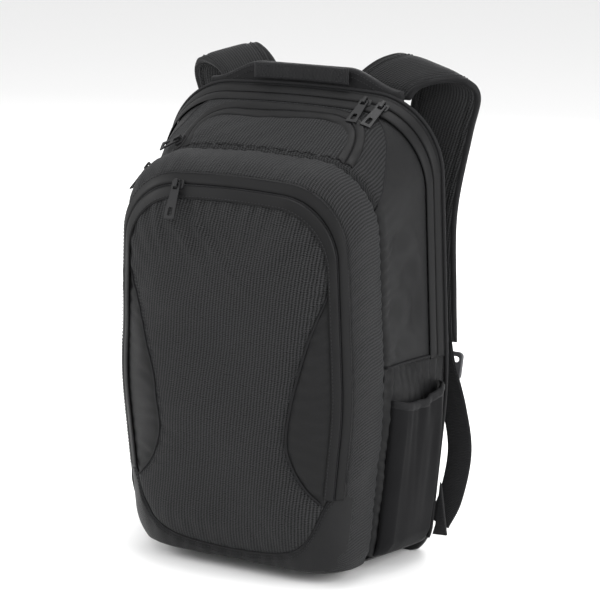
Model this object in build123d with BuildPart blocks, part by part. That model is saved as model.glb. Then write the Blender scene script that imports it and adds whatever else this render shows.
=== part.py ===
"""School backpack: a padded back with two shoulder straps, a main compartment, a front
compartment with a zipped pocket on its face, a zipped pocket in the top and two mesh
bottle pockets.

Units are millimetres. +Z is up, the front of the bag faces -Y and the back faces +Y. The
origin is on the underside of the bag. Each piece is written to parts/ as its own STEP.
"""

import os
from math import atan2, cos, pi, radians, sin, tan

from build123d import *

# ---------------------------------------------------------------- driving dimensions
# An outline is a rounded polygon: half width at the widest place, top, bottom, and the
# radii of the top's middle, the top corners and the lower corners. All outlines share the
# same edge slopes, so the shell between two of them is ruled and its corners stay round.
BACK = dict(half=151.0, top=437.0, bottom=-9.0, crown=1250.0, shoulder=71.0, foot=42.0)
GROOVE = dict(half=131.0, top=388.0, bottom=-8.0, crown=1000.0, shoulder=66.0, foot=48.0)
WAIST_Z = 170.0  # height of the widest place
WAIST_R = 420.0
TOP_SLOPE = 0.06
UPPER_SLOPE = 0.04
LOWER_SLOPE = 0.10

FABRIC = 1.6  # a sewn panel with its lining
GAP = 0.35  # clearance between pieces that move against each other

GROOVE_Y = -22.0  # the wall between the two compartments
BACK_Y = 58.0  # inner face of the back panel
BACK_PANEL = 12.0
ZIP_Y = 46.0  # centre line of the main zip
TAPE = 13.0  # width of half of its tape
SEAM_Z = 200.0  # the cross seam where the main zip ends
SHOULDER_Z = 345.0  # seam between the side panels and the top panel
BOOT_Z = 15.0  # height of the base's side wall

DOME_MID_Z = 190.0  # height of the front face's centre
DOME_DEPTH = 75.0
DOME_N = 3.2
DOME_RINGS = (1.0, 0.985, 0.95, 0.9, 0.83, 0.73, 0.6, 0.4)
FRONT_ZIP_Y = (-70.0, -76.0, -82.0)  # outer edge, centre line and inner edge of its tape

POCKET_REACH = 13.0  # how far the mesh pockets stand off the sides
POCKET_Z = (18.0, 164.0)
POCKET_Y = (-15.0, 50.0)

STRAP_THICK = 10.0
WEBBING = (25.0, 1.8)

FAR = 400.0
ALL = (-FAR, FAR)

os.makedirs("parts", exist_ok=True)


# ---------------------------------------------------------------- shape of the bag
def corners(spec):
    """Vertices and radii of an outline's polygon, clockwise from the middle of the top."""
    side = spec["half"] + UPPER_SLOPE * WAIST_Z
    bx = (side - UPPER_SLOPE * spec["top"]) / (1 - UPPER_SLOPE * TOP_SLOPE)
    dx = spec["half"] - LOWER_SLOPE * (WAIST_Z - spec["bottom"])
    right = [
        ((bx, spec["top"] - TOP_SLOPE * bx), spec["shoulder"]),
        ((spec["half"], WAIST_Z), WAIST_R),
        ((dx, spec["bottom"]), spec["foot"]),
    ]
    left = [((-x, z), r) for (x, z), r in reversed(right)]
    return [((0.0, spec["top"]), spec["crown"])] + right + left


def arcs(spec):
    """Centre, radius, first and last angle of the arc at each corner of an outline."""
    found = []
    shape = corners(spec)
    for i, ((x, z), radius) in enumerate(shape):
        (px, pz), _ = shape[i - 1]
        (nx, nz), _ = shape[(i + 1) % len(shape)]
        come = atan2(z - pz, x - px)
        go = atan2(nz - z, nx - x)
        turn = (come - go) % (2 * pi)
        back = radius * tan(turn / 2)
        sx, sz = x - back * cos(come), z - back * sin(come)
        centre = (sx + radius * sin(come), sz - radius * cos(come))
        found.append((centre, radius, come + pi / 2, come + pi / 2 - turn))
    return found


def outline(spec, grow=0.0):
    """Points (x, z) round an outline offset outward by grow."""
    points = []
    for (cx, cz), radius, first, last in arcs(spec):
        steps = 4 if abs(last - first) > 0.8 else 2 if radius > WAIST_R + 30 else 1
        for i in range(steps + 1):
            angle = first + (last - first) * i / steps
            points.append((cx + (radius + grow) * cos(angle), cz + (radius + grow) * sin(angle)))
    return points


def shell_section(y, grow=0.0):
    """Points (x, z) of the main shell's section at depth y."""
    share = (y - GROOVE_Y) / (BACK_Y - GROOVE_Y)
    pairs = zip(outline(GROOVE, grow), outline(BACK, grow))
    return [tuple(a + (b - a) * share for a, b in zip(near, far)) for near, far in pairs]


def dome_y(ring, swell=0.0):
    """Depth of the front face where the groove outline is scaled by ring."""
    return GROOVE_Y - (DOME_DEPTH + swell) * max(0.0, 1 - ring**DOME_N) ** (1 / DOME_N)


def dome_section(ring, grow=0.0):
    """Points (x, z) of the groove outline scaled by ring about the face's centre."""
    return [(ring * x, DOME_MID_Z + ring * (z - DOME_MID_Z)) for x, z in outline(GROOVE, grow)]


def polygon_face(corners_xyz):
    """A flat face through corners given in order."""
    return Face(Wire.make_polygon([Vector(*corner) for corner in corners_xyz], close=True))


def lofted(sections):
    """A solid through closed sections, each a list of points and a depth, in flat facets."""
    rows = [[(x, y, z) for x, z in points] for points, y in sections]
    faces = [polygon_face(rows[0]), polygon_face(rows[-1])]
    for near, far in zip(rows, rows[1:]):
        for i in range(len(near)):
            faces.append(polygon_face((near[i - 1], near[i], far[i], far[i - 1])))
    return Solid(Shell(faces))


def main_solid(grow, front=GROOVE_Y, back=BACK_Y):
    """The main compartment's volume between two depths, offset outward by grow."""
    return lofted([(shell_section(y, grow), y) for y in (front, back)])


def dome_solid(grow, swell):
    """The front compartment's volume, offset outward by grow and forward by swell."""
    return lofted([(dome_section(ring, grow), dome_y(ring, swell)) for ring in DOME_RINGS])


def block(x, y, z):
    """A box between the limits x, y and z, each a pair."""
    with BuildPart() as cutter:
        with Locations(((x[0] + x[1]) / 2, (y[0] + y[1]) / 2, (z[0] + z[1]) / 2)):
            Box(x[1] - x[0], y[1] - y[0], z[1] - z[0])
    return cutter.part


def prism(plane, points, depth):
    """A straight prism on a plane, running depth both ways, for cutting along seams."""
    with BuildPart() as cutter:
        with BuildSketch(plane):
            with BuildLine():
                Polyline(*points, close=True)
            make_face()
        extrude(amount=depth, both=True)
    return cutter.part


def write(built, name):
    """Labels a finished piece and writes it as parts/name.step."""
    built.part.label = name
    export_step(built.part, f"parts/{name}.step")


outer_main = main_solid(0.0)
inner_main = main_solid(-FABRIC, GROOVE_Y - 1, BACK_Y + 1)
outer_dome = dome_solid(0.0, 0.0)
inner_dome = dome_solid(-FABRIC, -FABRIC)
SIDES = (("left", -1), ("right", 1))

# ---------------------------------------------------------------- base and back
slab = block(ALL, ALL, (0, BOOT_Z))
room = block(ALL, ALL, (2.5, BOOT_Z + 1))
with BuildPart() as base_panel:
    add(outer_main & slab)
    add(outer_dome & slab)
    add(inner_main & room, mode=Mode.SUBTRACT)
    add(inner_dome & room, mode=Mode.SUBTRACT)
write(base_panel, "base_panel")

with BuildPart() as base_board:
    with BuildSketch(Plane.XY.offset(2.5)):
        with Locations((0, 4)):
            RectangleRounded(190, 92, 30)
    extrude(amount=3)
write(base_board, "base_board")

with BuildPart() as back_panel:
    with BuildSketch(Plane.XZ.offset(-BACK_Y)):
        with BuildLine():
            Polyline(*outline(BACK), close=True)
        make_face()
    extrude(amount=-BACK_PANEL)
    add(block(ALL, ALL, (0, FAR + 100)), mode=Mode.INTERSECT)
write(back_panel, "back_panel")

with BuildPart() as rear_piping:
    with BuildSketch(Plane.XZ.offset(-BACK_Y)):
        with BuildLine():
            Polyline(*outline(BACK, 2.6), close=True)
        make_face()
        with BuildLine():
            Polyline(*outline(BACK, 0.05), close=True)
        make_face(mode=Mode.SUBTRACT)
    extrude(amount=-3)
    add(block(ALL, ALL, (BOOT_Z + 2, FAR + 100)), mode=Mode.INTERSECT)
write(rear_piping, "rear_piping")

REAR = BACK_Y + BACK_PANEL
for side, s in SIDES:
    with BuildPart() as pad:
        with BuildSketch(Plane.XZ.offset(-REAR)):
            with Locations((s * 64, 262)):
                RectangleRounded(92, 270, 32)
        extrude(amount=-13)
        fillet(pad.faces().sort_by(Axis.Y)[-1].edges(), radius=9)
    write(pad, f"back_pad_{side}")

with BuildPart() as lumbar_pad:
    with BuildSketch(Plane.XZ.offset(-REAR)):
        with Locations((0, 72)):
            RectangleRounded(216, 84, 30)
    extrude(amount=-15)
    fillet(lumbar_pad.faces().sort_by(Axis.Y)[-1].edges(), radius=10)
write(lumbar_pad, "lumbar_pad")

with BuildPart() as frame_sheet:
    with BuildSketch(Plane.XZ.offset(-(BACK_Y - 1.6))):
        with Locations((0, 215)):
            RectangleRounded(236, 400, 40)
    extrude(amount=-1.4)
write(frame_sheet, "frame_sheet")

with BuildPart() as laptop_sleeve:
    add(block((-120, 120), (33, 56), (16, 300)))
    add(block((-118.6, 118.6), (34.4, 57), (17.4, 301)), mode=Mode.SUBTRACT)
write(laptop_sleeve, "laptop_sleeve")

with BuildPart() as strap_yoke:
    with BuildSketch(Plane.XZ.offset(-(BACK_Y + 1))):
        with BuildLine():
            Polyline((-104, 424), (-98, 437), (-46, 455), (46, 455), (98, 437), (104, 424), close=True)
        make_face()
    extrude(amount=-11)
    add(back_panel.part, mode=Mode.SUBTRACT)
    add(rear_piping.part, mode=Mode.SUBTRACT)
write(strap_yoke, "strap_yoke")

# ---------------------------------------------------------------- sides that stay put
for side, s in SIDES:
    half = (s * FAR, 0) if s < 0 else (0, FAR)
    with BuildPart() as side_lower:
        add(outer_main)
        add(inner_main, mode=Mode.SUBTRACT)
        add(block(half, (GROOVE_Y, BACK_Y), (BOOT_Z, SEAM_Z)), mode=Mode.INTERSECT)
    write(side_lower, f"side_lower_{side}")

zone = block(ALL, POCKET_Y, POCKET_Z)
room = block(ALL, (POCKET_Y[0] + 1.2, POCKET_Y[1] - 1.2), (POCKET_Z[0] + 1.2, FAR))
for side, s in SIDES:
    half = block((s * FAR, 0) if s < 0 else (0, FAR), ALL, ALL)
    with BuildPart() as mesh_pocket:
        add(main_solid(POCKET_REACH))
        add(zone, mode=Mode.INTERSECT)
        add(half, mode=Mode.INTERSECT)
        with BuildPart(mode=Mode.PRIVATE) as cavity:
            add(main_solid(POCKET_REACH - 1.2, GROOVE_Y - 2, BACK_Y + 2))
            add(room, mode=Mode.INTERSECT)
        add(cavity.part, mode=Mode.SUBTRACT)
        add(main_solid(0.0, GROOVE_Y - 1, BACK_Y + 1), mode=Mode.SUBTRACT)
    write(mesh_pocket, f"mesh_pocket_{side}")

    with BuildPart() as hem:
        add(main_solid(POCKET_REACH + 0.6))
        add(main_solid(POCKET_REACH - 1.8, GROOVE_Y - 2, BACK_Y + 2), mode=Mode.SUBTRACT)
        add(half, mode=Mode.INTERSECT)
        add(block(ALL, POCKET_Y, (POCKET_Z[1], POCKET_Z[1] + 7)), mode=Mode.INTERSECT)
    write(hem, f"pocket_hem_{side}")

with BuildPart() as zip_tape_rear:
    add(outer_main)
    add(inner_main, mode=Mode.SUBTRACT)
    add(block(ALL, (ZIP_Y + GAP, BACK_Y), (SEAM_Z, FAR + 100)), mode=Mode.INTERSECT)
write(zip_tape_rear, "zip_tape_rear")

# ---------------------------------------------------------------- main front
LIFT = SEAM_Z + GAP
for side, s in SIDES:
    half = (s * FAR, 0) if s < 0 else (0, FAR)
    with BuildPart() as side_upper:
        add(outer_main)
        add(inner_main, mode=Mode.SUBTRACT)
        add(block(half, (GROOVE_Y, ZIP_Y - TAPE), (LIFT, SHOULDER_Z)), mode=Mode.INTERSECT)
    write(side_upper, f"side_upper_{side}")

with BuildPart() as zip_tape_front:
    add(outer_main)
    add(inner_main, mode=Mode.SUBTRACT)
    add(block(ALL, (ZIP_Y - TAPE, ZIP_Y - GAP), (LIFT, FAR + 100)), mode=Mode.INTERSECT)
write(zip_tape_front, "zip_tape_front")


def flap_plan(grow):
    """Plan (x, y) of the top pocket's mouth, offset outward on its three zipped sides."""
    right = [(78 + grow, -18), (78 + grow, 1), (71 + grow, 12), (58 + grow * 0.5, 19 + grow)]
    return [(-x, y) for x, y in reversed(right)] + right


mouth = prism(Plane.XY, flap_plan(13), 500)
parted = prism(Plane.XY, [(x, y) for x, y in flap_plan(6.5 + GAP)], 500)
lid = prism(Plane.XY, [(x, max(y, GAP - 18)) for x, y in flap_plan(6.5)], 500)
panel = prism(Plane.XY, flap_plan(0), 500)

with BuildPart() as top_shell:
    add(outer_main)
    add(inner_main, mode=Mode.SUBTRACT)
    add(block(ALL, (GROOVE_Y, ZIP_Y - TAPE), (SHOULDER_Z, FAR + 100)), mode=Mode.INTERSECT)

with BuildPart() as top_panel:
    add(top_shell.part)
    add(mouth, mode=Mode.SUBTRACT)
write(top_panel, "top_panel")

with BuildPart() as pocket_tape:
    add(top_shell.part)
    add(mouth, mode=Mode.INTERSECT)
    add(parted, mode=Mode.SUBTRACT)
write(pocket_tape, "pocket_tape")

with BuildPart() as flap_tape:
    add(top_shell.part)
    add(lid, mode=Mode.INTERSECT)
    add(panel, mode=Mode.SUBTRACT)
write(flap_tape, "flap_tape")

with BuildPart() as flap_panel:
    add(top_shell.part)
    add(lid, mode=Mode.INTERSECT)
    add(panel, mode=Mode.INTERSECT)
write(flap_panel, "flap_panel")

with BuildPart() as top_pocket_lining:
    add(main_solid(-FABRIC - 0.2, GROOVE_Y - 1, BACK_Y + 1))
    add(block((-66, 66), (-6, 20), (352, FAR + 100)), mode=Mode.INTERSECT)
    with BuildPart(mode=Mode.PRIVATE) as cavity:
        add(block((-64.8, 64.8), (-4.8, 18.8), (353.2, FAR + 200)))
    add(cavity.part, mode=Mode.SUBTRACT)
write(top_pocket_lining, "top_pocket_lining")

with BuildPart() as divider_wall:
    with BuildSketch(Plane.XZ.offset(-(GROOVE_Y + 1.4))):
        with BuildLine():
            Polyline(*outline(GROOVE, -8), close=True)
        make_face()
    extrude(amount=1.4)
    add(block(ALL, ALL, (BOOT_Z + GAP, FAR)), mode=Mode.INTERSECT)
write(divider_wall, "divider_wall")

with BuildPart() as groove_tape:
    with BuildSketch(Plane.XZ.offset(-(GROOVE_Y + 1.4))):
        with BuildLine():
            Polyline(*outline(GROOVE, -FABRIC - 0.2), close=True)
        make_face()
        with BuildLine():
            Polyline(*outline(GROOVE, -8), close=True)
        make_face(mode=Mode.SUBTRACT)
    extrude(amount=1.4)
    add(block(ALL, ALL, (SEAM_Z + GAP, FAR)), mode=Mode.INTERSECT)
write(groove_tape, "groove_tape")

# ---------------------------------------------------------------- front compartment
EDGE_Y = GROOVE_Y - GAP
with BuildPart() as front_shell:
    add(outer_dome)
    add(inner_dome, mode=Mode.SUBTRACT)
    add(block(ALL, (-FAR, EDGE_Y), (BOOT_Z + GAP, FAR)), mode=Mode.INTERSECT)

BANDS = (
    ("front_gusset", (FRONT_ZIP_Y[0], EDGE_Y)),
    ("front_zip_outer", (FRONT_ZIP_Y[1], FRONT_ZIP_Y[0])),
    ("front_zip_inner", (FRONT_ZIP_Y[2], FRONT_ZIP_Y[1])),
)
for name, depth in BANDS:
    with BuildPart() as band:
        add(front_shell.part)
        add(block(ALL, depth, ALL), mode=Mode.INTERSECT)
    write(band, name)

# the centre panel is drawn in at the waist; the base panel rises at both corners
waist = [(118, 330), (90, 247), (76, 198), (66, 143), (74, 124), (99, 94), (80, 46), (50, 36)]
scoop = [(80, 46), (50, 36)]
waist_cut = prism(Plane.XZ, waist + [(-x, z) for x, z in reversed(waist)], 300)
top_cut = block(ALL, (-300, 0), (330, FAR))
scoop = [(FAR, 95), (99, 94)] + scoop
scoop_points = scoop + [(-x, z) for x, z in reversed(scoop)]
base_cut = prism(Plane.XZ, scoop_points + [(-FAR, -50), (FAR, -50)], 300)

with BuildPart() as face_shell:
    add(front_shell.part)
    add(block(ALL, (-FAR, FRONT_ZIP_Y[2]), ALL), mode=Mode.INTERSECT)

with BuildPart() as front_base:
    add(face_shell.part)
    add(base_cut, mode=Mode.INTERSECT)
write(front_base, "front_base")

with BuildPart() as front_sides:
    add(face_shell.part)
    add(base_cut, mode=Mode.SUBTRACT)
    add(waist_cut, mode=Mode.SUBTRACT)
    add(top_cut, mode=Mode.SUBTRACT)
    add(block((-60, 60), ALL, ALL), mode=Mode.SUBTRACT)
for side, s in SIDES:
    with BuildPart() as front_side:
        add(front_sides.part)
        add(block((s * FAR, 0) if s < 0 else (0, FAR), ALL, ALL), mode=Mode.INTERSECT)
    write(front_side, f"front_side_{side}")

with BuildPart() as front_centre:
    add(face_shell.part)
    add(base_cut, mode=Mode.SUBTRACT)
    add(front_sides.part, mode=Mode.SUBTRACT)
write(front_centre, "front_centre")

# ---------------------------------------------------------------- shoulder straps
# centre line of the right strap from its root over the crest and down, with its width and
# how many degrees its outer edge is turned down
STRAP_PATH = (
    ((66, 84, 426), 66, 0),
    ((74, 89, 440), 67, 5),
    ((93, 99, 451), 70, 13),
    ((112, 110, 452), 72, 17),
    ((120, 119, 436), 70, 15),
    ((112, 121, 395), 67, 8),
    ((102, 115, 318), 64, 2),
    ((106, 116, 240), 56, 0),
    ((119, 113, 194), 36, 0),
)
TAIL_PATH = ((118, 114, 196), (125, 109, 172), (140, 103, 132), (149, 97, 92), (146, 85, 50), (138, 74.5, 26))


def ribbon(path, widths, turns, thick, side, steps=3, slanted=False):
    """A flat strap of the given widths, turns and thickness along a smooth path, on one side.
    A slanted strap keeps its width level, as a strap does where it folds over slantwise."""
    with BuildLine(mode=Mode.PRIVATE):
        line = Spline(*[Vector(side * x, y, z) for x, y, z in path])
    count = steps * (len(widths) - 1)
    rows = []
    for i in range(count + 1):
        share = i / count
        before = int(min(share * (len(widths) - 1), len(widths) - 2))
        part = share * (len(widths) - 1) - before
        width = widths[before] * (1 - part) + widths[before + 1] * part
        turn = radians(turns[before] * (1 - part) + turns[before + 1] * part)
        along = line % share
        level = Vector(cos(turn), 0, -side * sin(turn))
        straight = level if slanted else (level - along * along.dot(level)).normalized()
        across = straight * (width / 2)
        face = along.cross(across).normalized() * (thick / 2)
        middle = line @ share
        corner = [middle + across + face, middle - across + face, middle - across - face, middle + across - face]
        rows.append([tuple(point) for point in corner])
    faces = [polygon_face(rows[0]), polygon_face(rows[-1])]
    for near, far in zip(rows, rows[1:]):
        for i in range(4):
            faces.append(polygon_face((near[i - 1], near[i], far[i])))
            faces.append(polygon_face((near[i - 1], far[i], far[i - 1])))
    with BuildPart() as strip:
        add(Solid(Shell(faces)))
    return strip


for side, s in SIDES:
    points, widths, turns = zip(*STRAP_PATH)
    pad = ribbon(points, widths, turns, STRAP_THICK, s, slanted=True)
    write(pad, f"strap_pad_{side}")

    with BuildPart() as tail:
        add(ribbon(TAIL_PATH, [WEBBING[0]] * 6, [0] * 6, WEBBING[1], s, 2).part)
        add(pad.part, mode=Mode.SUBTRACT)
    write(tail, f"strap_webbing_{side}")

    lock_plane = Plane((s * 125.5, 112.2, 171), x_dir=(1, 0, 0), z_dir=(s * 0.06, 0.964, -0.26))
    with BuildPart() as ladder_lock:
        with BuildSketch(lock_plane):
            RectangleRounded(34, 27, 5)
            with Locations((0, 6.2), (0, -6.2)):
                SlotOverall(27, 5.4, mode=Mode.SUBTRACT)
        extrude(amount=4.2)
        fillet(ladder_lock.faces().sort_by(Axis.Y)[-1].outer_wire().edges(), radius=1.2)
    write(ladder_lock, f"ladder_lock_{side}")

    wing_points = [(s * x, z) for x, z in ((118, 17), (153, 19), (147, 66), (138, 96), (118, 96))]
    with BuildPart() as strap_wing:
        with BuildSketch(Plane.XZ.offset(-62)):
            with BuildLine():
                Polyline(*wing_points, close=True)
            make_face()
        extrude(amount=-3)
        add(main_solid(2.8, BACK_Y, BACK_Y + 14), mode=Mode.SUBTRACT)
        add(back_panel.part, mode=Mode.SUBTRACT)
    write(strap_wing, f"strap_wing_{side}")

# ---------------------------------------------------------------- haul handle
with BuildPart() as haul_handle:
    with BuildSketch(Plane.XZ.offset(-54.6)):
        with Locations((0, 448)):
            SlotOverall(100, 16)
    extrude(amount=-2.4)
write(haul_handle, "haul_handle")


# ---------------------------------------------------------------- zip sliders and pulls
def outward(angle, along, across):
    """Normal of the surface spanned by two directions, on the side that angle points to."""
    normal = along.cross(across).normalized()
    return normal if normal.dot(Vector(cos(angle), 0, sin(angle))) > 0 else normal * -1


def shell_frame(corner, angle, y):
    """Point, zip direction and normal on the main shell at a corner's angle and depth y."""
    ends = []
    for spec, depth in ((GROOVE, GROOVE_Y), (BACK, BACK_Y)):
        (cx, cz), radius, _, _ = arcs(spec)[corner]
        ends.append(Vector(cx + radius * cos(angle), depth, cz + radius * sin(angle)))
    near, far = ends
    share = (y - GROOVE_Y) / (BACK_Y - GROOVE_Y)
    along = Vector(-sin(angle), 0, cos(angle))
    return near + (far - near) * share, along, outward(angle, along, far - near)


def dome_frame(corner, angle, y):
    """Point, zip direction and normal on the front face at a corner's angle and depth y."""
    ring = (1 - ((GROOVE_Y - y) / DOME_DEPTH) ** DOME_N) ** (1 / DOME_N)
    (cx, cz), radius, _, _ = arcs(GROOVE)[corner]
    x, z = cx + radius * cos(angle), cz + radius * sin(angle) - DOME_MID_Z
    deeper = dome_y(ring + 0.001) - dome_y(ring - 0.001)
    point = Vector(ring * x, y, DOME_MID_Z + ring * z)
    along = Vector(-sin(angle), 0, cos(angle))
    return point, along, outward(angle, along, Vector(x, deeper / 0.002, z))


def zip_slider(name, point, pull_way, normal, length):
    """A slider riding just off its tape, and a pull tab on a crossbar through its bridge."""
    plane = Plane(point, x_dir=pull_way, z_dir=normal)
    with BuildPart() as slider:
        with BuildSketch(plane.offset(0.5)):
            RectangleRounded(8.5, 12, 2)
        extrude(amount=2.6)
        with BuildSketch(plane.offset(3.1)):
            Rectangle(7.6, 3.2)
        extrude(amount=3.9)
        with BuildSketch(plane.offset(3.1)):
            Rectangle(4.8, 3.2)
        extrude(amount=2.5, mode=Mode.SUBTRACT)
    write(slider, name)

    with BuildPart() as pull:
        with BuildSketch(plane.offset(3.6)):
            Rectangle(1.4, 8)
            with Locations((3.2, 3.2), (3.2, -3.2)):
                Rectangle(7.8, 1.6)
            with BuildLine():
                Polyline((6, -4), (6, 4), (6 + length, 5.4), (6 + length, -5.4), close=True)
            make_face()
            with Locations((length - 1, 0)):
                RectangleRounded(8, 4.6, 1.4, mode=Mode.SUBTRACT)
        extrude(amount=1.4)
    write(pull, f"{name}_pull")


CROWN, SHOULDER_RIGHT, SHOULDER_LEFT = 0, 1, 6
TILT = atan2(TOP_SLOPE, 1)


def downhill(along, normal):
    """The direction across a zip that leads down its surface."""
    way = along.cross(normal)
    return way if way.Z < 0 else way * -1


point, along, normal = shell_frame(CROWN, pi / 2 - TILT, ZIP_Y)
zip_slider("main_slider_left", point, downhill(along, normal), normal, 24)

point, along, normal = shell_frame(SHOULDER_RIGHT, pi / 2 - TILT - 0.22, ZIP_Y)
zip_slider("main_slider_right", point, downhill(along, normal), normal, 24)

point, along, normal = dome_frame(CROWN, pi / 2 + TILT, FRONT_ZIP_Y[1])
zip_slider("front_slider", point, downhill(along, normal), normal, 28)

point, along, normal = dome_frame(SHOULDER_LEFT, pi * 0.78, GROOVE_Y - 9)
zip_slider("compartment_slider", point + normal * 0.6, along * -1 if along.Z > 0 else along, normal, 22)

point, along, normal = shell_frame(SHOULDER_LEFT, pi / 2 + 0.46, -9)
zip_slider("top_slider", point + normal * 0.4, along, normal, 15)
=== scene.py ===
# %% [markdown]
# # A school backpack, sewn in Blender
# The bag is cloth over foam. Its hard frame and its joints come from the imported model, and
# every soft piece here is drawn afresh in the same place. All sizes below are in
# millimetres and become metres when a mesh is made, because pattern makers think that way.

# %% Load the frame
from math import atan2, cos, pi, radians, sin, tan

import bmesh
import bpy
import numpy as np
from mathutils import Matrix, Vector


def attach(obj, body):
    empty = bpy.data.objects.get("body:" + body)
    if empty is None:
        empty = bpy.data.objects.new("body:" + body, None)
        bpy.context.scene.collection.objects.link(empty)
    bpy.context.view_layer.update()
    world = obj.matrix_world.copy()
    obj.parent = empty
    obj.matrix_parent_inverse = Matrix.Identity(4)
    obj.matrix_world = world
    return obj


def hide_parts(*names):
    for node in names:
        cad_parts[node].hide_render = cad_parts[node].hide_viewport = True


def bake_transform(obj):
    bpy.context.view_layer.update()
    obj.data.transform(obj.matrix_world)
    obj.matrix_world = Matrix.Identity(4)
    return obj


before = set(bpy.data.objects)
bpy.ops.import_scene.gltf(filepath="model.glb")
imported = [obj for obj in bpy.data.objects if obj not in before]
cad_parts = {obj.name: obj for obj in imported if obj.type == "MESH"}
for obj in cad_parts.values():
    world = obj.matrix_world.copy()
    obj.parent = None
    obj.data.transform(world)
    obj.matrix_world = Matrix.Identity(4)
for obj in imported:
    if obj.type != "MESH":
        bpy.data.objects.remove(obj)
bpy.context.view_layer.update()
MM, PER_METRE = 0.001, 1000.0

# %% [markdown]
# ## The pattern's outlines
# The bag is drawn as a bag maker drafts it: a front outline at the groove between the two
# compartments and a larger back outline. Each is a polygon with rounded corners. Everything
# between them is a straight-line blend, so a single number, the place along the outline,
# works at every depth. Zero is the middle of the top, and minus one and one meet underneath.

# %% Outlines
BACK = dict(half=151.0, top=437.0, bottom=-9.0, crown=1250.0, shoulder=71.0, foot=42.0)
GROOVE = dict(half=131.0, top=388.0, bottom=-8.0, crown=1000.0, shoulder=66.0, foot=48.0)
WAIST_Z, WAIST_R = 170.0, 420.0
TOP_SLOPE, UPPER_SLOPE, LOWER_SLOPE = 0.06, 0.04, 0.10
GROOVE_Y, BACK_Y, REAR_Y = -22.0, 58.0, 70.0
ZIP_Y, TAPE, SEAM_Z, BOOT_Z = 46.0, 13.0, 200.0, 15.0
DOME_MID_Z, DOME_DEPTH, DOME_N = 190.0, 75.0, 3.2


def half_outline(spec):
    """Points of the right half of an outline, from the top's middle to the bottom's."""
    side = spec["half"] + UPPER_SLOPE * WAIST_Z
    bx = (side - UPPER_SLOPE * spec["top"]) / (1 - UPPER_SLOPE * TOP_SLOPE)
    dx = spec["half"] - LOWER_SLOPE * (WAIST_Z - spec["bottom"])
    shape = [
        ((0.0, spec["top"]), spec["crown"]),
        ((bx, spec["top"] - TOP_SLOPE * bx), spec["shoulder"]),
        ((spec["half"], WAIST_Z), WAIST_R),
        ((dx, spec["bottom"]), spec["foot"]),
        ((-dx, spec["bottom"]), 1.0),
    ]
    before, points = (-bx, spec["top"] - TOP_SLOPE * bx), []
    for i in range(4):
        (x, z), radius = shape[i]
        nx, nz = shape[i + 1][0]
        come, go = atan2(z - before[1], x - before[0]), atan2(nz - z, nx - x)
        turn = (come - go) % (2 * pi)
        back = radius * tan(turn / 2)
        sx, sz = x - back * cos(come), z - back * sin(come)
        cx, cz = sx + radius * sin(come), sz - radius * cos(come)
        first = come + pi / 2
        start = 0.5 if i == 0 else 0.0
        for k in range(41):
            a = first - turn * (start + (1 - start) * k / 40)
            points.append((cx + radius * cos(a), cz + radius * sin(a)))
        before = (x, z)
    points.append((0.0, spec["bottom"]))
    return np.array(points)


GROOVE_LINE, BACK_LINE = half_outline(GROOVE), half_outline(BACK)
_mean = (GROOVE_LINE + BACK_LINE) / 2
_run = np.concatenate([[0], np.cumsum(np.hypot(*np.diff(_mean, axis=0).T))])
PLACE = _run / _run[-1]
GIRTH = _run[-1]


def along_line(line, place):
    """Point and outward direction of an outline at a place from -1 to 1."""
    size = np.abs(place)
    x, z = np.interp(size, PLACE, line[:, 0]), np.interp(size, PLACE, line[:, 1])
    step = 0.004
    ax, az = np.interp(size + step, PLACE, line[:, 0]), np.interp(size + step, PLACE, line[:, 1])
    bx, bz = np.interp(size - step, PLACE, line[:, 0]), np.interp(size - step, PLACE, line[:, 1])
    tx, tz = ax - bx, az - bz
    length = np.hypot(tx, tz) + 1e-9
    nx, nz = -tz / length, tx / length
    sign = np.where(place < 0, -1.0, 1.0)
    nx = np.where(size < step, 0.0, nx)
    return sign * x, z, sign * nx, np.where(size < step, 1.0, nz)


def place_at(line, z):
    """The place on the right half where an outline comes down to height z."""
    order = np.argsort(line[:, 1])
    return float(np.interp(z, line[order, 1], PLACE[order]))


def wobble(x, y, z, size, seed):
    """A smooth, repeatable unevenness of about one unit, with waves of about size mm."""
    rng = np.random.default_rng(seed)
    total = 0.0
    for _ in range(7):
        way = rng.normal(size=3)
        way /= np.linalg.norm(way)
        wave = size * rng.uniform(0.6, 1.6)
        total = total + np.sin((x * way[0] + y * way[1] + z * way[2]) * 2 * pi / wave + rng.uniform(0, 6.3))
    return total / 2.6


print("half girth", round(GIRTH), "mm")

# %% [markdown]
# ## The two surfaces
# The main shell runs from the groove to the back panel. Its front edge is rolled inward, so
# that the groove reads as a sewn valley. Under the cross seam the side cloth is gathered, and
# that fullness is put in as short ripples that fade downward. The front compartment is a dome
# whose rings are the groove outline drawn smaller, the way a moulded front swells.

# %% Surface functions


def ease(value):
    """0 to 1 with soft ends."""
    value = np.clip(value, 0, 1)
    return value * value * (3 - 2 * value)


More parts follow.
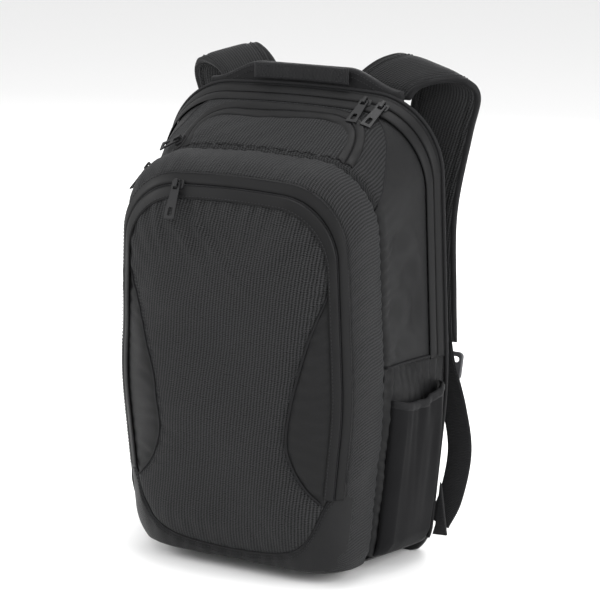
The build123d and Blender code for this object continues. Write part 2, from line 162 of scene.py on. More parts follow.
def shell_at(place, y, out=0.0, plain=False):
    """Points of the main shell at a place and depth, moved out by some mm."""
    place, y = np.broadcast_arrays(np.asarray(place, float), np.asarray(y, float))
    share = (y - GROOVE_Y) / (BACK_Y - GROOVE_Y)
    gx, gz, gnx, gnz = along_line(GROOVE_LINE, place)
    bx, bz, bnx, bnz = along_line(BACK_LINE, place)
    x, z = gx + (bx - gx) * share, gz + (bz - gz) * share
    nx, nz = gnx + (bnx - gnx) * share, gnz + (bnz - gnz) * share
    lift = np.full(x.shape, float(out)) if np.ndim(out) == 0 else np.array(out, float)
    if not plain:
        lip = np.clip((y - GROOVE_Y) / 7.0, 0, 1)
        lift = lift - 5.0 * (1 - lip) ** 2
        pucker = np.exp(-(y - GROOVE_Y) / 9.0) * np.clip((y - GROOVE_Y) / 3, 0, 1)
        lift = lift + pucker * 0.9 * np.sin(place * GIRTH / 1.9 + wobble(x, y, z, 40, 3) * 1.4)
        side = ease((np.abs(x) - 95) / 25)
        inner = ease((y - GROOVE_Y) / 22) * ease((ZIP_Y - 12 - y) / 16)
        bulge = ease((z - 20) / 60) * ease((SEAM_Z - z) / 50)
        lift = lift + side * inner * bulge * 3.0
        below = np.clip(SEAM_Z - z, 0, None)
        fade = np.where(z < SEAM_Z, np.exp(-below / 26) * ease(below / 4), 0)
        ripple = np.sin(y / 1.35 + wobble(x, y, z, 50, 5) * 1.5)
        lift = lift + side * fade * ripple * 2.4
        soft = ease((y - GROOVE_Y) / 16) * ease((ZIP_Y - 13 - y) / 12)
        lift = lift + soft * (wobble(x, y, z, 75, 8) * 1.5 + wobble(x, y, z, 28, 9) * 0.5)
        drape = ease((z - SEAM_Z) / 20) * ease((345 - z) / 30) * side * inner
        lift = lift - drape * (2.8 + 1.5 * np.sin(z / 15 + y / 7) + 1.0 * np.sin(z / 8 - y / 6))
    return np.stack([x + nx * lift, y, z + nz * lift], axis=-1)


_rim_x, _rim_z, _, _ = along_line(GROOVE_LINE, np.linspace(0, 1, 3000))
PHI = np.arctan2(_rim_z - DOME_MID_Z, _rim_x)
REACH = np.hypot(_rim_x, _rim_z - DOME_MID_Z)


def ring_of(x, z):
    """How far out of the middle (0) to the groove (1) a point of the front lies."""
    phi = np.arctan2(z - DOME_MID_Z, np.abs(x))
    return np.hypot(x, z - DOME_MID_Z) / np.interp(phi, PHI[::-1], REACH[::-1])


def dome_depth(ring):
    """Depth y of the front face on a ring."""
    return GROOVE_Y - DOME_DEPTH * np.clip(1 - np.clip(ring, 0, 1) ** DOME_N, 0, 1) ** (1 / DOME_N)


def ring_at_depth(y):
    """The ring of the front face at a depth."""
    return (1 - ((GROOVE_Y - y) / DOME_DEPTH) ** DOME_N) ** (1 / DOME_N)


# A crease leaves the zip at x, leans by a slope, fades over some mm and stands some mm high.
CREASE_TOP_Z = 336
CREASES = (
    (-78, 0.5, 26, 1.6), (-60, 0.9, 40, 2.6), (-36, 1.0, 44, 3.0), (-14, 0.8, 34, 2.2), (8, 0.5, 20, 1.2),
    (62, -0.6, 28, 2.0), (80, -0.9, 36, 2.2),
)


def face_relief(x, z):
    """How far the soft front stands off its pattern: sag, puckers and pulled seams."""
    ring = ring_of(x, z)
    inside = ease((0.822 - ring) / 0.16)
    relief = inside * (wobble(x, 0 * x, z, 120, 21) * 1.5 + wobble(x, 0 * x, z, 46, 22) * 0.55)
    edge = np.clip(0.826 - ring, 0, None) * 170
    pull = np.exp(-edge / 17) * ease(edge / 3)
    phi = np.arctan2(z - DOME_MID_Z, x)
    top = 0.35 + 0.65 * ease((z - 250) / 60)
    relief = relief + pull * top * 1.15 * np.sin(phi * 62 + wobble(x, 0 * x, z, 60, 23) * 1.8)
    for start, lean, reach, height in CREASES:
        drop = CREASE_TOP_Z - z
        off = x - start - lean * drop
        relief = (
            relief
            + height * inside * ease((drop + 4) / 12) * np.exp(-(off / 6.0) ** 2) * np.exp(
                -(np.clip(drop, 0, None) / reach) ** 2
            )
        )
    seam = np.abs(np.abs(x) - waist_x(z))
    near = np.exp(-seam / 5.0) * ease((320 - z) / 12) * ease((z - 80) / 6)
    relief = relief - near * 2.1
    tuck = np.exp(-seam / 15) * ease(seam / 4) * ease((320 - z) / 15) * ease((z - 80) / 10)
    relief = relief + tuck * 0.6 * np.sin(z / 2.5 + wobble(x, 0 * x, z, 45, 24) * 1.6)
    base = z - scoop_z(x)
    relief = relief - np.exp(-np.abs(base) / 4.5) * 2.0
    relief = (
        relief
        + np.exp(-np.abs(base) / 13) * ease(np.abs(base) / 3) * 0.7 * np.sin(
            x / 2.6 + wobble(x, 0 * x, z, 40, 25)
        )
    )
    return relief


def dome_at(x, z, out=0.0, plain=False):
    """Points of the front face over (x, z), moved out by some mm."""
    x, z = np.broadcast_arrays(np.asarray(x, float), np.asarray(z, float))
    ring = np.clip(ring_of(x, z), 1e-4, 0.9999)
    slope = DOME_DEPTH * ring ** (DOME_N - 1) * (1 - ring**DOME_N) ** (1 / DOME_N - 1)
    radial = np.hypot(x, z - DOME_MID_Z) + 1e-6
    reach = radial / ring
    nx, nz, ny = x / radial * slope / reach, (z - DOME_MID_Z) / radial * slope / reach, -1.0
    size = np.sqrt(nx**2 + nz**2 + 1)
    lift = out + (0 if plain else face_relief(x, z))
    return np.stack(
        [x + nx / size * lift, dome_depth(ring) + ny / size * lift, z + nz / size * lift], axis=-1,
    )


def ring_point(place, ring, out=0.0):
    """Points of the front compartment at a place on its ring, moved out by some mm."""
    place, ring = np.broadcast_arrays(np.asarray(place, float), np.asarray(ring, float))
    gx, gz, nx, nz = along_line(GROOVE_LINE, place)
    x, z = ring * gx, DOME_MID_Z + ring * (gz - DOME_MID_Z)
    y = dome_depth(ring)
    r = np.clip(ring, 0.05, 0.9999)
    slope = (
        DOME_DEPTH * r ** (DOME_N - 1) * (1 - r**DOME_N) ** (1 / DOME_N - 1) / np.hypot(gx, gz - DOME_MID_Z)
    )
    size = np.sqrt(slope**2 + 1)
    return np.stack([x + nx * slope / size * out, y - out / size, z + nz * slope / size * out], axis=-1)


# %% [markdown]
# ## Seam lines of the front
# The centre panel is drawn in like an hourglass, and the base panel rises at both corners.
# Both lines are smooth curves through a few pattern points.

# %% Seam lines
WAIST_PTS = np.array(
    [
        (80, 99), (98, 82), (112, 73), (136, 65), (165, 68.5), (196, 75.5), (222, 83), (247, 91),
        (275, 102), (305, 113), (330, 119),
    ],
    float,
)
SCOOP_PTS = np.array(
    [(0, 24), (30, 25), (52, 28), (68, 33), (80, 42), (90, 57), (98, 78), (106, 92), (130, 108)], float,
)


def waist_x(z):
    """Half width of the centre panel at a height."""
    return np.interp(z, WAIST_PTS[:, 0], WAIST_PTS[:, 1])


def scoop_z(x):
    """Height of the base panel's upper seam at a half width."""
    return np.interp(np.abs(x), SCOOP_PTS[:, 0], SCOOP_PTS[:, 1])


def smooth_pts(points, rounds=3):
    """Corner-cut version of a row of points, for a softer seam."""
    for _ in range(rounds):
        near = points[:-1] * 0.75 + points[1:] * 0.25
        far = points[:-1] * 0.25 + points[1:] * 0.75
        mixed = np.empty((len(near) * 2, points.shape[1]))
        mixed[0::2], mixed[1::2] = near, far
        points = np.concatenate([points[:1], mixed, points[-1:]])
    return points


WAIST_PTS, SCOOP_PTS = smooth_pts(WAIST_PTS), smooth_pts(SCOOP_PTS)

# %% [markdown]
# ## Cloth meshes
# Each sewn panel is a grid of points given a real thickness, closed all round, with a UV map
# measured in metres of cloth. The weave reads that map, so its threads keep their size and
# follow the panel, as on real cloth.

# %% Mesh helpers


def add_object(name, mesh, material):
    piece = bpy.data.objects.new(name, mesh)
    bpy.context.scene.collection.objects.link(piece)
    mesh.materials.append(material)
    for poly in mesh.polygons:
        poly.use_smooth = True
    return piece


def cloth(name, grid, material, thick=1.3, body=None, stands_for=(), keep=None, flip=False, uv=None):
    """A closed sheet on a grid of points (rows, columns, 3), outer side as given."""
    rows, cols = grid.shape[:2]
    du, dv = np.gradient(grid, axis=1), np.gradient(grid, axis=0)
    normal = np.cross(du, dv)
    normal /= np.linalg.norm(normal, axis=2, keepdims=True) + 1e-9
    if flip:
        normal = -normal
    inner = grid - normal * thick
    points = np.concatenate([grid.reshape(-1, 3), inner.reshape(-1, 3)]) * MM
    u = np.cumsum(np.linalg.norm(np.diff(grid, axis=1, prepend=grid[:, :1]), axis=2), axis=1)
    v = np.cumsum(np.linalg.norm(np.diff(grid, axis=0, prepend=grid[:1]), axis=2), axis=0)
    u = u - u[:, cols // 2][:, None]
    if uv is not None:
        u, v = uv
    uv = np.stack([u, v], axis=-1).reshape(-1, 2) * MM
    uv = np.concatenate([uv, uv])
    here = np.arange(rows * cols).reshape(rows, cols)
    live = np.ones((rows - 1, cols - 1), bool) if keep is None else keep
    back = rows * cols
    faces = []
    for i in range(rows - 1):
        for j in range(cols - 1):
            if not live[i, j]:
                continue
            a, b, c, d = here[i, j], here[i, j + 1], here[i + 1, j + 1], here[i + 1, j]
            faces.append((a, b, c, d) if not flip else (d, c, b, a))
            faces.append(
                (d + back, c + back, b + back, a + back) if not flip else (
                    a + back, b + back, c + back, d + back,
                )
            )
            sides = (
                (i == 0 or not live[i - 1, j], a, b),
                (j == cols - 2 or not live[i, j + 1], b, c),
                (i == rows - 2 or not live[i + 1, j], c, d),
                (j == 0 or not live[i, j - 1], d, a),
            )
            for rim, p, q in sides:
                if rim:
                    faces.append((q, p, p + back, q + back) if not flip else (p, q, q + back, p + back))
    mesh = bpy.data.meshes.new(name)
    mesh.from_pydata(points.tolist(), [], [tuple(int(k) for k in f) for f in faces])
    layer = mesh.uv_layers.new(name="cloth")
    index = np.zeros(len(mesh.loops), dtype=np.int32)
    mesh.loops.foreach_get("vertex_index", index)
    layer.data.foreach_set("uv", uv[index].astype(np.float32).ravel())
    if keep is not None:
        shape = bmesh.new()
        shape.from_mesh(mesh)
        bmesh.ops.delete(shape, geom=[p for p in shape.verts if not p.link_faces], context="VERTS")
        shape.to_mesh(mesh)
        shape.free()
    piece = add_object(name, mesh, material)
    settle(piece, body, stands_for)
    return piece


def settle(piece, body, stands_for=()):
    """Says what a piece rides on, and which nodes it stands for."""
    if body is not None:
        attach(piece, body)
    if stands_for:
        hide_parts(*stands_for)


def tube(name, path, radius, material, body=None, sides=8, closed=False, stands_for=()):
    """A round cord of cloth, such as piping, along a path of points."""
    path = np.asarray(path, float)
    ahead = np.gradient(path, axis=0)
    ahead /= np.linalg.norm(ahead, axis=1, keepdims=True) + 1e-9
    up = np.array([0.13, -0.95, 0.2])
    side = np.cross(ahead, up)
    side /= np.linalg.norm(side, axis=1, keepdims=True) + 1e-9
    other = np.cross(side, ahead)
    angle = np.arange(sides) * 2 * pi / sides
    rings = (
        path[:, None]
        + radius * (
            np.cos(angle)[None, :, None] * side[:, None] + np.sin(angle)[None, :, None] * other[:, None]
        )
    )
    count = len(path)
    faces = []
    for i in range(count if closed else count - 1):
        for k in range(sides):
            a, b = i * sides + k, i * sides + (k + 1) % sides
            c, d = ((i + 1) % count) * sides + (k + 1) % sides, ((i + 1) % count) * sides + k
            faces.append((a, b, c, d))
    if not closed:
        faces.append(tuple(range(sides - 1, -1, -1)))
        faces.append(tuple((count - 1) * sides + k for k in range(sides)))
    mesh = bpy.data.meshes.new(name)
    mesh.from_pydata((rings.reshape(-1, 3) * MM).tolist(), [], faces)
    layer = mesh.uv_layers.new(name="cloth")
    run = np.concatenate([[0], np.cumsum(np.linalg.norm(np.diff(path, axis=0), axis=1))])
    for loop in mesh.loops:
        ring, k = divmod(loop.vertex_index, sides)
        layer.data[loop.index].uv = (run[ring] * MM, k * radius * 0.8 * MM)
    piece = add_object(name, mesh, material)
    shape = bmesh.new()
    shape.from_mesh(mesh)
    bmesh.ops.recalc_face_normals(shape, faces=shape.faces)
    shape.to_mesh(mesh)
    shape.free()
    settle(piece, body, stands_for)
    return piece


# %% [markdown]
# ## Shader maths
# A material here is a small formula. The class below wraps a socket, so that adding or
# multiplying two values writes the Math node. Anything else comes from one method, node().

# %% Shader helper


class Value:
    """A number socket that can be used in Python arithmetic."""

    def __init__(self, book, socket):
        self.book, self.socket = book, socket

    def _math(self, kind, other=None, first=None):
        values = [self if first is None else first, other]
        values = [v for v in values if v is not None]
        return self.book.node("ShaderNodeMath", {"operation": kind}, dict(enumerate(values)))

    def __add__(self, other):
        return self._math("ADD", other)

    def __sub__(self, other):
        return self._math("SUBTRACT", other)

    def __rsub__(self, other):
        return self._math("SUBTRACT", self, first=other)

    def __mul__(self, other):
        return self._math("MULTIPLY", other)

    def __pow__(self, other):
        return self._math("POWER", other)

    def sine(self):
        return self._math("SINE")

    def size(self):
        return self._math("ABSOLUTE")

    def most(self, other):
        return self._math("MAXIMUM", other)

    __radd__, __rmul__ = __add__, __mul__


class Book:
    """One material being written."""

    def __init__(self, name):
        self.material = bpy.data.materials.new(name)
        self.material.use_nodes = True
        self.tree = self.material.node_tree
        self.tree.nodes.clear()
        self.out = self.tree.nodes.new("ShaderNodeOutputMaterial")
        self.shader = self.tree.nodes.new("ShaderNodeBsdfPrincipled")
        self.tree.links.new(self.shader.outputs[0], self.out.inputs["Surface"])

    def node(self, kind, settings=None, sockets=None, output=0):
        made = self.tree.nodes.new(kind)
        for key, value in (settings or {}).items():
            if key == "stops":
                ramp = made.color_ramp
                for i, (place, colour) in enumerate(value):
                    stop = ramp.elements[i] if i < 2 else ramp.elements.new(place)
                    stop.position, stop.color = place, (*colour, 1)
            else:
                setattr(made, key, value)
        for key, value in (sockets or {}).items():
            self.set(made.inputs[key], value)
        return Value(self, made.outputs[output])

    def set(self, socket, value):
        if isinstance(value, Value):
            self.tree.links.new(value.socket, socket)
        elif hasattr(socket.default_value, "__len__") and not hasattr(value, "__len__"):
            socket.default_value = [value] * len(socket.default_value)
        elif hasattr(value, "__len__") and len(value) == 3 and len(socket.default_value) == 4:
            socket.default_value = (*value, 1)
        else:
            socket.default_value = value

    def finish(self, colour, rough, bump=None, depth=0.2, **fixed):
        self.set(self.shader.inputs["Base Color"], colour)
        self.set(self.shader.inputs["Roughness"], rough)
        if bump is not None:
            raised = self.node(
                "ShaderNodeBump", None, {"Height": bump, "Strength": 1.0, "Distance": depth * MM},
            )
            self.set(self.shader.inputs["Normal"], raised)
        for key, value in fixed.items():
            self.set(self.shader.inputs[key.replace("_", " ").title().replace("Ior", "IOR")], value)
        return self.material

    def cloth_map(self):
        """Place in the cloth, in millimetres, as two numbers."""
        uv = self.node("ShaderNodeUVMap", {"uv_map": "cloth"})
        parts = self.tree.nodes.new("ShaderNodeSeparateXYZ")
        self.tree.links.new(uv.socket, parts.inputs[0])
        return Value(self, parts.outputs[0]) * PER_METRE, Value(self, parts.outputs[1]) * PER_METRE

    def noise(self, scale, detail=3.0, rough=0.55):
        """Cloudy noise on the object's own place, with features of about 1/scale metres."""
        spot = self.node("ShaderNodeTexCoord", None, None, "Object")
        return self.node(
            "ShaderNodeTexNoise", None,
            {"Vector": spot, "Scale": scale, "Detail": detail, "Roughness": rough},
        )

    def tone(self, amount, dark, light):
        """A colour between dark and light."""
        return self.node("ShaderNodeValToRGB", {"stops": ((0.0, dark), (1.0, light))}, {0: amount})


# %% [markdown]
# ## Cloth and hardware finishes
# The body cloth is a charcoal polyester with small woven diamonds. The diamonds are two sets
# of slanting ribs, and the thread is a finer grid laid over them. The raised ribs are also
# painted lighter, a painted highlight on the real weave. The side cloth is a plain, slightly
# silky twill, the zip tapes are coated and smooth, and the mesh is knitted with round holes
# that are painted dark as painted shade. All of them carry a little dust and fading, or black
# cloth looks like a hole.

# %% Finishes


def woven(name, dark, light, diamond, rough, depth, sheen=0.03):
    """Cloth with a woven diamond pattern of the given size in mm, its raised ribs painted lighter as a
    painted highlight.
    """
    book = Book(name)
    u, v = book.cloth_map()
    slant = 2 * pi / diamond
    drift = book.noise(160.0, 2.0) * 6.5
    rib_a = ((u * 0.8 + v * 1.15) * slant + drift).sine()
    rib_b = ((u * 0.5 - v * 1.3) * slant - drift * 1.3).sine()
    diamonds_and_painted_highlight = (rib_a * rib_b) * 0.5 + 0.5
    thread = ((u * (2 * pi / 0.9)).sine() * (v * (2 * pi / 0.9)).sine()) * 0.5 + 0.5
    fleck = book.noise(900.0, 2.0)
    cloud = book.noise(14.0, 3.0)
    # Tone: the diamond weave is real, but its lighter raised ribs are a painted highlight; thread, fleck and
    # cloud are real weave, dust and fading.
    tone = diamonds_and_painted_highlight * 1.1 + thread * 0.1 + fleck * 0.3 + cloud * 0.15 - 0.35
    height = diamonds_and_painted_highlight * 0.65 + thread * 0.3 + fleck * 0.2
    return book.finish(
        book.tone(tone, dark, light), cloud * 0.16 + rough, height, depth, sheen_weight=sheen,
        sheen_roughness=0.45, sheen_tint=(0.75, 0.77, 0.8), specular_ior_level=0.12,
    )


def twill(name, dark, light, rough, depth=0.12, pitch=1.3, sheen=0.03, specular=0.14):
    """Plain cloth with a fine slanting rib."""
    book = Book(name)
    u, v = book.cloth_map()
    rib = ((u + v) * (2 * pi / pitch)).sine() * 0.5 + 0.5
    cross = ((u - v) * (2 * pi / (pitch * 0.6))).sine() * 0.5 + 0.5
    fleck = book.noise(700.0, 2.0)
    cloud = book.noise(11.0, 4.0)
    tone = rib * 0.25 + cross * 0.1 + fleck * 0.35 + cloud * 0.4 - 0.1
    return book.finish(
        book.tone(tone, dark, light), cloud * 0.2 + rough, rib * 0.6 + cross * 0.3 + fleck * 0.3, depth,
        sheen_weight=sheen, sheen_roughness=0.4, sheen_tint=(0.8, 0.8, 0.82), specular_ior_level=specular,
    )


def coated(name, dark, light, rough):
    """Smooth coated tape, with a faint grain and rubbed patches."""
    book = Book(name)
    grain = book.noise(1500.0, 2.0)
    rub = book.noise(30.0, 4.0)
    return book.finish(
        book.tone(rub * 0.8 + grain * 0.3 - 0.05, dark, light), rub * 0.25 + rough, grain * 0.5 + rub * 0.3,
        0.08, specular_ior_level=0.16,
    )


def netted(name, dark, light, pitch, depth):
    """Knitted mesh with round holes painted dark, as painted shade where the cloth behind would show."""
    book = Book(name)
    u, v = book.cloth_map()
    a = (u * (2 * pi / pitch)).sine() * (v * (2 * pi / (pitch * 1.7))).sine()
    b = (u * (2 * pi / pitch) + pi / 2).sine() * (v * (2 * pi / (pitch * 1.7)) + pi / 2).sine()
    knit_and_hole_shade = 1 - (a.size() * 0.5 + b.size() * 0.5).most(0.0) ** 0.8
    fleck = book.noise(800.0, 2.0)
    cloud = book.noise(16.0, 3.0)
    # The holes take the dark stop: painted shade standing in for see-through holes. The knit relief in the
    # bump is real.
    tone = knit_and_hole_shade * 0.75 + fleck * 0.2 + cloud * 0.3 - 0.2
    return book.finish(
        book.tone(tone, dark, light), 0.82 - cloud * 0.1, knit_and_hole_shade * 0.9 + fleck * 0.2, depth,
        sheen_weight=0.02, sheen_roughness=0.5, specular_ior_level=0.1,
    )


def ribbed(name, dark, light, pitch, depth=0.35):
    """Webbing: close ribs across the strip and a herringbone along it."""
    book = Book(name)
    u, v = book.cloth_map()
    rib = (v * (2 * pi / pitch) + (u * (2 * pi / 6.2)).sine() * 1.2).sine() * 0.5 + 0.5
    fleck = book.noise(800.0, 2.0)
    tone = rib * 0.45 + fleck * 0.4 + book.noise(20.0) * 0.25 - 0.1
    return book.finish(
        book.tone(tone, dark, light), 0.62, rib * 0.8 + fleck * 0.2, depth, sheen_weight=0.03,
        sheen_roughness=0.4, specular_ior_level=0.15,
    )


def solid(name, dark, light, rough, coat=0.0):
    """Metal or moulded plastic with small scuffs."""
    book = Book(name)
    scuff = book.noise(260.0, 5.0, 0.7)
    broad = book.noise(60.0, 2.0)
    return book.finish(
        book.tone(scuff * 0.5 + broad * 0.5, dark, light), scuff * 0.25 + rough, scuff, 0.04, metallic=0.0,
        coat_weight=coat, coat_roughness=0.2, specular_ior_level=0.2,
    )


# Part of the body cloth's wide span from dark to light is painted highlight on the raised diamond ribs.
BODY = woven("body_fabric", (0.0003, 0.0003, 0.0004), (0.034, 0.0343, 0.0355), 3.9, 0.6, 0.6)
SATIN = twill("plain_fabric", (0.0006, 0.0006, 0.0007), (0.0125, 0.0127, 0.0135), 0.38, specular=0.17)
TAPE_CLOTH = coated("zip_tape", (0.0025, 0.0025, 0.0027), (0.0085, 0.0085, 0.009), 0.42)
EDGING = twill("edging", (0.004, 0.004, 0.0044), (0.014, 0.014, 0.015), 0.55, pitch=1.0)
# The dark stops of the mesh and the air mesh are mostly the painted shade in their holes.
NET = netted("mesh", (0.0008, 0.0008, 0.001), (0.012, 0.012, 0.013), 2.1, 0.35)
AIR = netted("air_mesh", (0.004, 0.004, 0.0045), (0.040, 0.0405, 0.043), 3.4, 0.8)
WEB = ribbed("webbing", (0.004, 0.004, 0.0044), (0.022, 0.0222, 0.0235), 1.5)
LINING = twill("lining", (0.030, 0.030, 0.032), (0.085, 0.086, 0.09), 0.6, pitch=0.9)
GUNMETAL = solid("metal", (0.005, 0.005, 0.0054), (0.018, 0.018, 0.019), 0.4, coat=0.04)
MOULDED = solid("hardware", (0.035, 0.035, 0.038), (0.075, 0.076, 0.08), 0.34, coat=0.25)
BOARD = solid("board", (0.03, 0.03, 0.03), (0.06, 0.06, 0.06), 0.6)
COIL = solid("coil", (0.008, 0.008, 0.009), (0.03, 0.03, 0.032), 0.4)
THREAD = solid("thread", (0.008, 0.008, 0.009), (0.028, 0.028, 0.030), 0.6)

# %% [markdown]
# ## Stitches
# A stitch line is one short capsule of thread repeated along a seam. Geometry Nodes resample
# the seam at the stitch length, put a capsule on each point and turn it along the seam. The
# tree ends in real geometry with its material, because instances are lost on export.

# %% Stitch and coil tool


def repeat_tool(name, material):
    """A node tree that repeats a small capsule along the edges of a mesh."""
    tree = bpy.data.node_groups.new(name, "GeometryNodeTree")
    face = tree.interface
    face.new_socket("Seam", in_out="INPUT", socket_type="NodeSocketGeometry")
    ids = {}
    for label, default in (("Spacing", 0.003), ("Length", 0.0024), ("Thickness", 0.0007), ("Turn", 0.0)):
        made = face.new_socket(label, in_out="INPUT", socket_type="NodeSocketFloat")
        made.default_value = default
        ids[label] = made.identifier
    face.new_socket("Work", in_out="OUTPUT", socket_type="NodeSocketGeometry")
    new = tree.nodes.new
    given, result = new("NodeGroupInput"), new("NodeGroupOutput")
    curve, spaced = new("GeometryNodeMeshToCurve"), new("GeometryNodeResampleCurve")
    if hasattr(spaced, "mode"):
        spaced.mode = "LENGTH"
    else:
        spaced.inputs["Mode"].default_value = "Length"
    tangent, turn = new("GeometryNodeInputTangent"), new("FunctionNodeAlignRotationToVector")
    turn.axis = "X"
    bead, put = new("GeometryNodeMeshIcoSphere"), new("GeometryNodeInstanceOnPoints")
    bead.inputs["Radius"].default_value = 0.5
    bead.inputs["Subdivisions"].default_value = 1
    size, spin = new("ShaderNodeCombineXYZ"), new("FunctionNodeRotateRotation")
    spin.rotation_space = "LOCAL"
    angle = new("FunctionNodeAxisAngleToRotation")
    angle.inputs["Axis"].default_value = (0, 0, 1)
    real, paint = new("GeometryNodeRealizeInstances"), new("GeometryNodeSetMaterial")
    paint.inputs["Material"].default_value = material
    smooth = new("GeometryNodeSetShadeSmooth")
    link = tree.links.new
    link(given.outputs["Seam"], curve.inputs[0])
    link(curve.outputs[0], spaced.inputs[0])
    link(given.outputs["Spacing"], spaced.inputs["Length"])
    link(tangent.outputs[0], turn.inputs["Vector"])
    link(given.outputs["Turn"], angle.inputs["Angle"])
    link(turn.outputs[0], spin.inputs[0])
    link(angle.outputs[0], spin.inputs[1])
    link(given.outputs["Length"], size.inputs[0])
    link(given.outputs["Thickness"], size.inputs[1])
    link(given.outputs["Thickness"], size.inputs[2])
    link(spaced.outputs[0], put.inputs["Points"])
    link(bead.outputs[0], put.inputs["Instance"])
    link(spin.outputs[0], put.inputs["Rotation"])
    link(size.outputs[0], put.inputs["Scale"])
    link(put.outputs[0], real.inputs[0])
    link(real.outputs[0], smooth.inputs[0])
    link(smooth.outputs[0], paint.inputs[0])
    link(paint.outputs[0], result.inputs[0])
    return tree, ids


STITCHER, STITCH_IDS = repeat_tool("stitch line", THREAD)
COILER, COIL_IDS = repeat_tool("zip coil", COIL)


def run_along(name, paths, tool, ids, spacing, length, thick, turn=0.0, body=None):
    """Repeats a bead along some paths and returns the finished mesh object."""
    points, edges = [], []
    for path in paths:
        path = np.asarray(path, float)
        start = len(points)
        points.extend((path * MM).tolist())
        edges.extend((start + i, start + i + 1) for i in range(len(path) - 1))
    line = bpy.data.meshes.new(name + "_line")
    line.from_pydata(points, edges, [])
    holder = bpy.data.objects.new(name + "_line", line)
    bpy.context.scene.collection.objects.link(holder)
    worker = holder.modifiers.new("repeat", "NODES")
    worker.node_group = tool
    for label, value in (("Spacing", spacing), ("Length", length), ("Thickness", thick)):
        worker[ids[label]] = value * MM
    worker[ids["Turn"]] = turn
    graph = bpy.context.evaluated_depsgraph_get()
    mesh = bpy.data.meshes.new_from_object(holder.evaluated_get(graph))
    mesh.name = name
    material = next(m for m in mesh.materials if m)
    mesh.materials.clear()
    mesh.materials.append(material)
    mesh.polygons.foreach_set("material_index", [0] * len(mesh.polygons))
    holder.modifiers.remove(worker)
    bpy.data.objects.remove(holder)
    piece = bpy.data.objects.new(name, mesh)
    bpy.context.scene.collection.objects.link(piece)
    settle(piece, body)
    return piece


SEAMS = {}


def sew(body, path):
    """Notes a stitch line for a body; all of a body's lines are made together later."""
    SEAMS.setdefault(body, []).append(np.asarray(path, float))


def spread(first, last, count):
    return np.linspace(first, last, count)


# %% [markdown]
# ## Lumps, ribbons and hard parts
# A lump is a closed body through loops of points, and a ribbon is a lump along a path. A hard
# part keeps its model shape and only has its edges eased.

# %% Lumps, ribbons and softened hard parts


def lump(name, rings, material, body=None, stands_for=(), flat_map=False):
    """A closed body through loops of points, with a fan of faces over each end."""
    rings = np.asarray(rings, float)
    count, sides = rings.shape[:2]
    ends = np.array([rings[0].mean(axis=0), rings[-1].mean(axis=0)])
    points = np.concatenate([rings.reshape(-1, 3), ends])
    faces = []
    for i in range(count - 1):
        for k in range(sides):
            a, b = i * sides + k, i * sides + (k + 1) % sides
            faces.append((a, b, b + sides, a + sides))
    low, high, last = count * sides, count * sides + 1, (count - 1) * sides
    for k in range(sides):
        faces.append((low, (k + 1) % sides, k))
        faces.append((high, last + k, last + (k + 1) % sides))
    mesh = bpy.data.meshes.new(name)
    mesh.from_pydata((points * MM).tolist(), [], faces)
    layer = mesh.uv_layers.new(name="cloth")
    if flat_map:
        for loop in mesh.loops:
            x, _, z = points[loop.vertex_index]
            layer.data[loop.index].uv = (x * MM, z * MM)
    else:
        v = np.concatenate([[0], np.cumsum(np.linalg.norm(np.diff(rings, axis=0), axis=2).mean(axis=1))])
        u = np.concatenate([[0], np.cumsum(np.linalg.norm(np.diff(rings[count // 2], axis=0), axis=1))])
        for poly in mesh.polygons:
            spots = [
                divmod(k, sides) if k < low else (0 if k == low else count - 1, 0)
                for k in poly.vertices
            ]
            wraps = any(k == sides - 1 for _, k in spots)
            for index, (row, k) in zip(poly.loop_indices, spots):
                far = u[-1] + u[1] if wraps and k == 0 else u[k]
                layer.data[index].uv = (far * MM, v[row] * MM)
    piece = add_object(name, mesh, material)
    shape = bmesh.new()
    shape.from_mesh(mesh)
    bmesh.ops.recalc_face_normals(shape, faces=shape.faces)
    shape.to_mesh(mesh)
    shape.free()
    settle(piece, body, stands_for)
    return piece


def smooth_path(points, count):
    """A smooth path through points, as evenly spaced in number."""
    pts = np.asarray(points, float)
    padded = np.concatenate([[2 * pts[0] - pts[1]], pts, [2 * pts[-1] - pts[-2]]])
    where = np.linspace(0, len(pts) - 1, count)
    seat = np.minimum(where.astype(int), len(pts) - 2)
    t = (where - seat)[:, None]
    a, b, c, d = padded[seat], padded[seat + 1], padded[seat + 2], padded[seat + 3]
    return 0.5 * (2 * b + (c - a) * t + (2 * a - 5 * b + 4 * c - d) * t**2 + (3 * b - a - 3 * c + d) * t**3)


def strip_frame(path, tilt=None):
    """Across and face directions along a strap's path. A tilted strap folds over slantwise."""
    ahead = np.gradient(path, axis=0)
    ahead /= np.linalg.norm(ahead, axis=1, keepdims=True)
    turn = np.zeros(len(path)) if tilt is None else tilt
    across = np.stack([np.cos(turn), 0 * turn, -np.sin(turn)], axis=1)
    if tilt is None:
        across = across - ahead * (ahead * across).sum(axis=1, keepdims=True)
    across /= np.linalg.norm(across, axis=1, keepdims=True)
    face = np.cross(ahead, across)
    return ahead, across, face / np.linalg.norm(face, axis=1, keepdims=True)


def ribbon(
    name, path, width, thick, material, body=None, stands_for=(), sides=28, shift=0.0, square=5.0,
    relief=None, tilt=None,
):
    """A flat strap with rounded edges; width and shift may change along it."""
    path = np.asarray(path, float)
    width, shift, thick = (np.broadcast_to(v, len(path)) for v in (width, shift, thick))
    _, across, face = strip_frame(path, tilt)
    angle = (np.arange(sides) + 0.5) * 2 * pi / sides
    c, s = np.cos(angle), np.sin(angle)
    u = np.sign(c) * np.abs(c) ** (2 / square)
    v = np.sign(s) * np.abs(s) ** (2 / 2.6)
    rings = []
    for i in range(len(path)):
        high = thick[i] / 2 * v
        if relief is not None:
            high = high + relief(i, u, v)
        spot = path[i] + across[i] * shift[i]
        rings.append(spot + across[i] * (u * width[i] / 2)[:, None] + face[i] * high[:, None])
    return lump(name, rings, material, body, stands_for)


